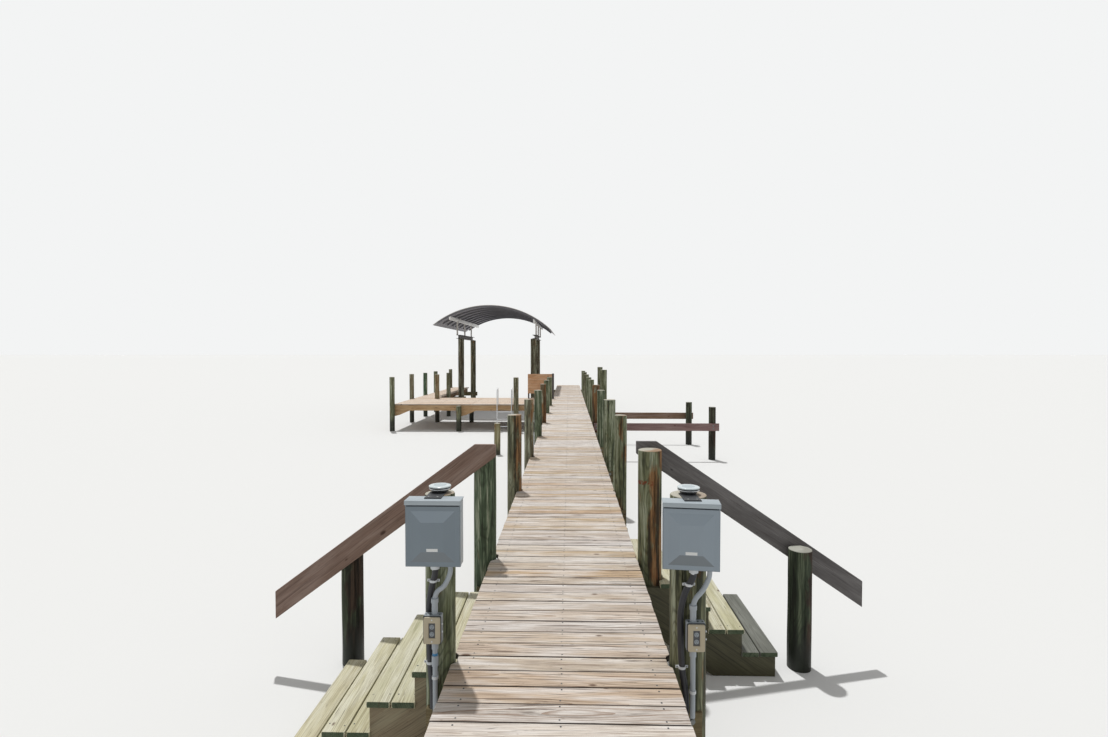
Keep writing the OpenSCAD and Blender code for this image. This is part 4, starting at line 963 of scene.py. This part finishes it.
def addStraps(c):
    bag = newBag()
    wide, edge = 2 * c["strapHalf"], c["strapEdge"]
    r = c["flexRadius"] + c["strapProud"]
    for solid in solidsOf("flex_conduits"):
        for z in c["strapHeights"]:
            middle = tubeMiddle(solid, z)
            turned(bag, middle - upward * c["strapHalf"], upward,
                   ((r - edge, 0.0), (r, edge), (r, wide - edge), (r - edge, wide)), c["around"])
            for sign in (-1, 1):
                tab = middle + Vector((sign * (r + c["tabOut"]), c["tabIn"], 0))
                slab(bag, tab, facingAxes(shoreward), (c["tab"], wide, c["tabThick"]), 0.0005)
                addHead(bag, tab + shoreward * c["tabThick"], shoreward, c["screw"], 2, 8)
    band = c["pipeRadius"] + c["bandProud"]
    for solid in solidsOf("service_pipes"):
        if solid["low"][2] < c["bandHeight"] < solid["high"][2] and solid["low"][0] < walkMid:
            half = (solid["high"][0] - solid["low"][0]) / 2
            foot = Vector((solid["low"][0] + half, solid["low"][1] + half, c["bandHeight"] - c["bandHalf"]))
            turned(bag, foot, upward, ((band, 0.0), (band, 2 * c["bandHalf"])), c["around"], 1)
    makePiece("conduitStraps", bag, [strapWhite, bandBlue, galvanised], sharp=30.0)


addStraps(conduitLooks)

# Outlets: a grey cast box, dark gasket, tan cover, and two receptacles in the opening. slots gives the two of
# a receptacle by their place across and their height. The plugs stand along the box's top edge, and the cover
# screws' and hinge knuckles' heights count from its middle
outletLooks = {"cover": 0.0088, "gasket": 0.0122, "floor": 0.005, "openWide": 0.034, "openHigh": 0.080,
               "floorThick": 0.0008, "face": (0.0125, 0.0018, 0.01125, 0.0024), "faceFront": 0.0023,
               "apart": 0.038, "slotThick": 0.0004,
               "slots": ((-0.0045, 0.008), (0.0045, 0.0065)), "slotWide": 0.0017, "slotUp": 0.003,
               "earth": (0.0022, 0.0004), "earthDown": 0.0065, "plugs": (-0.036, -0.012, 0.012, 0.036),
               "plug": (0.005, 0.002, 0.003, 0.002), "plugIn": 0.012, "screws": (-0.058, 0.058),
               "screw": (0.0042, 0.001, 0.0025, 0.0016), "knuckles": (0.03, -0.012),
               "knuckle": (0.005, 0.006, 0.003, 0.008), "knuckleIn": 0.02}


def outletLayer(solid, centre, normal):
    depth = centre.y - solid["low"][1]
    if depth < outletLooks["cover"]:
        return 0
    return 1 if depth < outletLooks["gasket"] else 2


plain("outletBoxes", "outlet_boxes", [tanCover, seamShade, outletGrey], 0.0008,
      choose=outletLayer)


def addReceptacles(o):
    bag = newBag()
    axes = facingAxes(shoreward)
    right, up, out = axes
    for solid in solidsOf("outlet_boxes"):
        low, high = Vector(solid["low"]), Vector(solid["high"])
        floor = Vector(((low.x + high.x) / 2, low.y + o["floor"], (low.z + high.z) / 2))
        slab(bag, floor, axes, (o["openWide"], o["openHigh"], o["floorThick"]), 0.0002)
        for sign in (-1, 1):
            centre = floor + up * sign * o["apart"] / 2 + out * o["floorThick"]
            front = centre + out * o["faceFront"]
            addHead(bag, centre, out, o["face"], 1, 20)
            # the slots and the earth hole are thin dark plates on the face: painted shade in the openings
            for across, tall in o["slots"]:
                slab(bag, front + right * across + up * o["slotUp"], axes,
                     (o["slotWide"], tall, o["slotThick"]), 0.0001, 2)
            radius, proud = o["earth"]
            turned(bag, front - up * o["earthDown"], out, ((radius, 0.0), (radius, proud)), 10, 2)
        for across in o["plugs"]:
            plug = Vector((floor.x + across, (low.y + high.y) / 2 - o["plugIn"], high.z - 0.001))
            addHead(bag, plug, up, o["plug"], 2)
        for rise in o["screws"]:
            addHead(bag, Vector((floor.x, low.y, floor.z + rise)), out, o["screw"], 3)
        for rise in o["knuckles"]:
            knuckle = Vector((high.x - 0.001, low.y + o["knuckleIn"], floor.z + rise))
            addHead(bag, knuckle, rightward, o["knuckle"], 3)
    makePiece("outletDetails", bag, [darkFace, outletGrey, seamShade, strapWhite],
              sharp=30.0)


addReceptacles(outletLooks)
plain("swimLadder", "swim_ladder", drawnTube, 0.0, 50.0)

# Boat slip: rolled I-beams on the pilings, tube frame, and a ribbed sheet roof that is bent to an arch
slipLooks = {"web": 0.010, "flange": 0.016, "pitch": 0.225, "ribWide": 0.07, "ribSlope": 0.02, "steps": 56,
             "sheet": 0.0015, "trim": 0.018}


def addSlipBeams(s):
    bag = newBag()
    for solid in solidsOf("slip_beams"):
        low, high = Vector(solid["low"]), Vector(solid["high"])
        x = (low.x + high.x) / 2
        left, right = x - s["web"] / 2, x + s["web"] / 2
        under, over = low.z + s["flange"], high.z - s["flange"]
        outline = [(low.x, low.z), (high.x, low.z), (high.x, under), (right, under), (right, over),
                   (high.x, over), (high.x, high.z), (low.x, high.z), (low.x, over), (left, over),
                   (left, under), (low.x, under)]
        points = [(px, y, pz) for y in (low.y, high.y) for px, pz in outline]
        n = len(outline)
        faces = between(2, n)
        for start in (0, n):
            faces += [[start + i for i in part] for part in
                      ((0, 1, 2, 3, 10, 11), (3, 4, 9, 10), (4, 5, 6, 7, 8, 9))]
        intoBag(bag, points, faces)
    makePiece("slipBeams", bag, darkSteel, ["slip_beams"], 25.0)


def addCanopySheet(s):
    solid = solidsOf("canopy_sheet")[0]
    flat = solid["points"][:, [0, 2]]
    fit = np.linalg.lstsq(np.c_[flat, np.ones(len(flat))], -(flat ** 2).sum(axis=1), rcond=None)[0]
    centre = -fit[:2] / 2
    arms = flat - centre
    radii = np.hypot(arms[:, 0], arms[:, 1])
    turns = np.arctan2(arms[:, 0], arms[:, 1])
    inner, outer = float(radii.min()) + s["sheet"], float(radii.max())
    low, high = float(solid["low"][1]), float(solid["high"][1])
    steps = s["steps"]

    def onArch(step, r, y):
        a = float(turns.min() + (turns.max() - turns.min()) * step / steps)
        return (centre[0] + r * math.sin(a), y, centre[1] + r * math.cos(a))

    count = round((high - low) / s["pitch"])
    pitch = (high - low) / count
    before, after = (pitch - s["ribWide"]) / 2, (pitch + s["ribWide"]) / 2
    profile = []
    for i in range(count):
        start = low + i * pitch
        profile += [(start, 0.0), (start + before, 0.0), (start + before + s["ribSlope"], 1.0),
                    (start + after - s["ribSlope"], 1.0), (start + after, 0.0)]
    profile.append((high, 0.0))
    points = [onArch(step, inner + (outer - inner) * rise - layer, y) for layer in (0.0, s["sheet"])
              for step in range(steps + 1) for y, rise in profile]
    n = len(profile)
    total = n * (steps + 1)
    outside = between(steps + 1, n, False)
    faces = outside + [[total + i for i in reversed(face)] for face in outside]
    faces += [[a, total + a, total + a + 1, a + 1] for i in range(n - 1) for a in (i, steps * n + i)]
    faces += [[a, a + n, total + a + n, total + a]
              for step in range(steps) for a in (step * n, step * n + n - 1)]
    slots = [0] * len(outside) + [1] * len(outside) + [0] * 2 * (n - 1) + [2] * 2 * steps
    bag = newBag()
    intoBag(bag, points, faces, slot=slots)
    inside = inner - s["sheet"]
    for near, far in ((low, low + s["trim"]), (high - s["trim"], high)):
        points = [onArch(step, r, y) for step in range(steps + 1)
                  for r, y in ((inside, near), (outer, near), (outer, far), (inside, far))]
        faces = between(steps + 1, 4) + [[3, 2, 1, 0], [4 * steps + i for i in range(4)]]
        intoBag(bag, points, faces, slot=2)
    makePiece("canopySheet", bag, [canopyCoat, canopyInside, paleBeam], ["canopy_sheet"], 25.0)


addSlipBeams(slipLooks)
addCanopySheet(slipLooks)
plain("canopyUprights", "canopy_uprights", paleBeam)
plain("canopyRails", "canopy_rails", millRail)
plain("canopyRibs", "canopy_ribs", ribSteel, 0.0, 30.0)
print("fittings made")


# Studio: pale floor at the feet, one soft lamp from ahead on the left, even surroundings
studio = {
    "floor": "#e9e9e7", "floorHalf": 2000.0, "around": "#f3f4f4", "fill": 0.42, "fillColor": "#ffffff",
    "lampStrength": 2.2, "lampAngle": 1.4, "lampFrom": (-0.14, 0.335, 1.0),
}


def addStudio(s):
    floorMat = newMaterial("paleStudioFloor", {
        "Base Color": toLinear(s["floor"]), "Roughness": 0.9, "Specular IOR Level": 0.1})[0]
    mesh = bpy.data.meshes.new("studioFloor")
    h, z = s["floorHalf"], cadLow[2]
    mesh.from_pydata([(-h, -h, z), (h, -h, z), (h, h, z), (-h, h, z)], [], [[0, 1, 2, 3]])
    mesh.materials.append(floorMat)
    floor = bpy.data.objects.new("studioFloor", mesh)
    scene.collection.objects.link(floor)
    world = bpy.data.worlds.new("studioAir")
    scene.world = world
    world.use_nodes = True
    tree = world.node_tree
    lit = tree.nodes["Background"]
    lit.inputs["Color"].default_value = toLinear(s["fillColor"])
    lit.inputs["Strength"].default_value = s["fill"]
    seen = addNode(tree, "Background", {"Color": s["around"], "Strength": 1.0})
    shown = addNode(tree, "LightPath", {}, "Is Camera Ray")
    rays = shown.node.outputs
    for kind in ("Is Glossy Ray", "Is Transmission Ray"):
        shown = addNode(tree, "Math", {"operation": "MAXIMUM", 0: shown, 1: rays[kind]})
    mix = addNode(tree, "MixShader", {0: shown, 1: lit.outputs[0], 2: seen})
    tree.links.new(mix, tree.nodes["World Output"].inputs["Surface"])
    lamp = bpy.data.lights.new("softSun", "SUN")
    lamp.energy = s["lampStrength"]
    lamp.angle = math.radians(s["lampAngle"])
    lampObject = bpy.data.objects.new("softSun", lamp)
    lampObject.rotation_euler = Vector(s["lampFrom"]).to_track_quat("Z", "Y").to_euler()
    scene.collection.objects.link(lampObject)


addStudio(studio)
scene.view_settings.view_transform = "Standard"
print("studio lit")
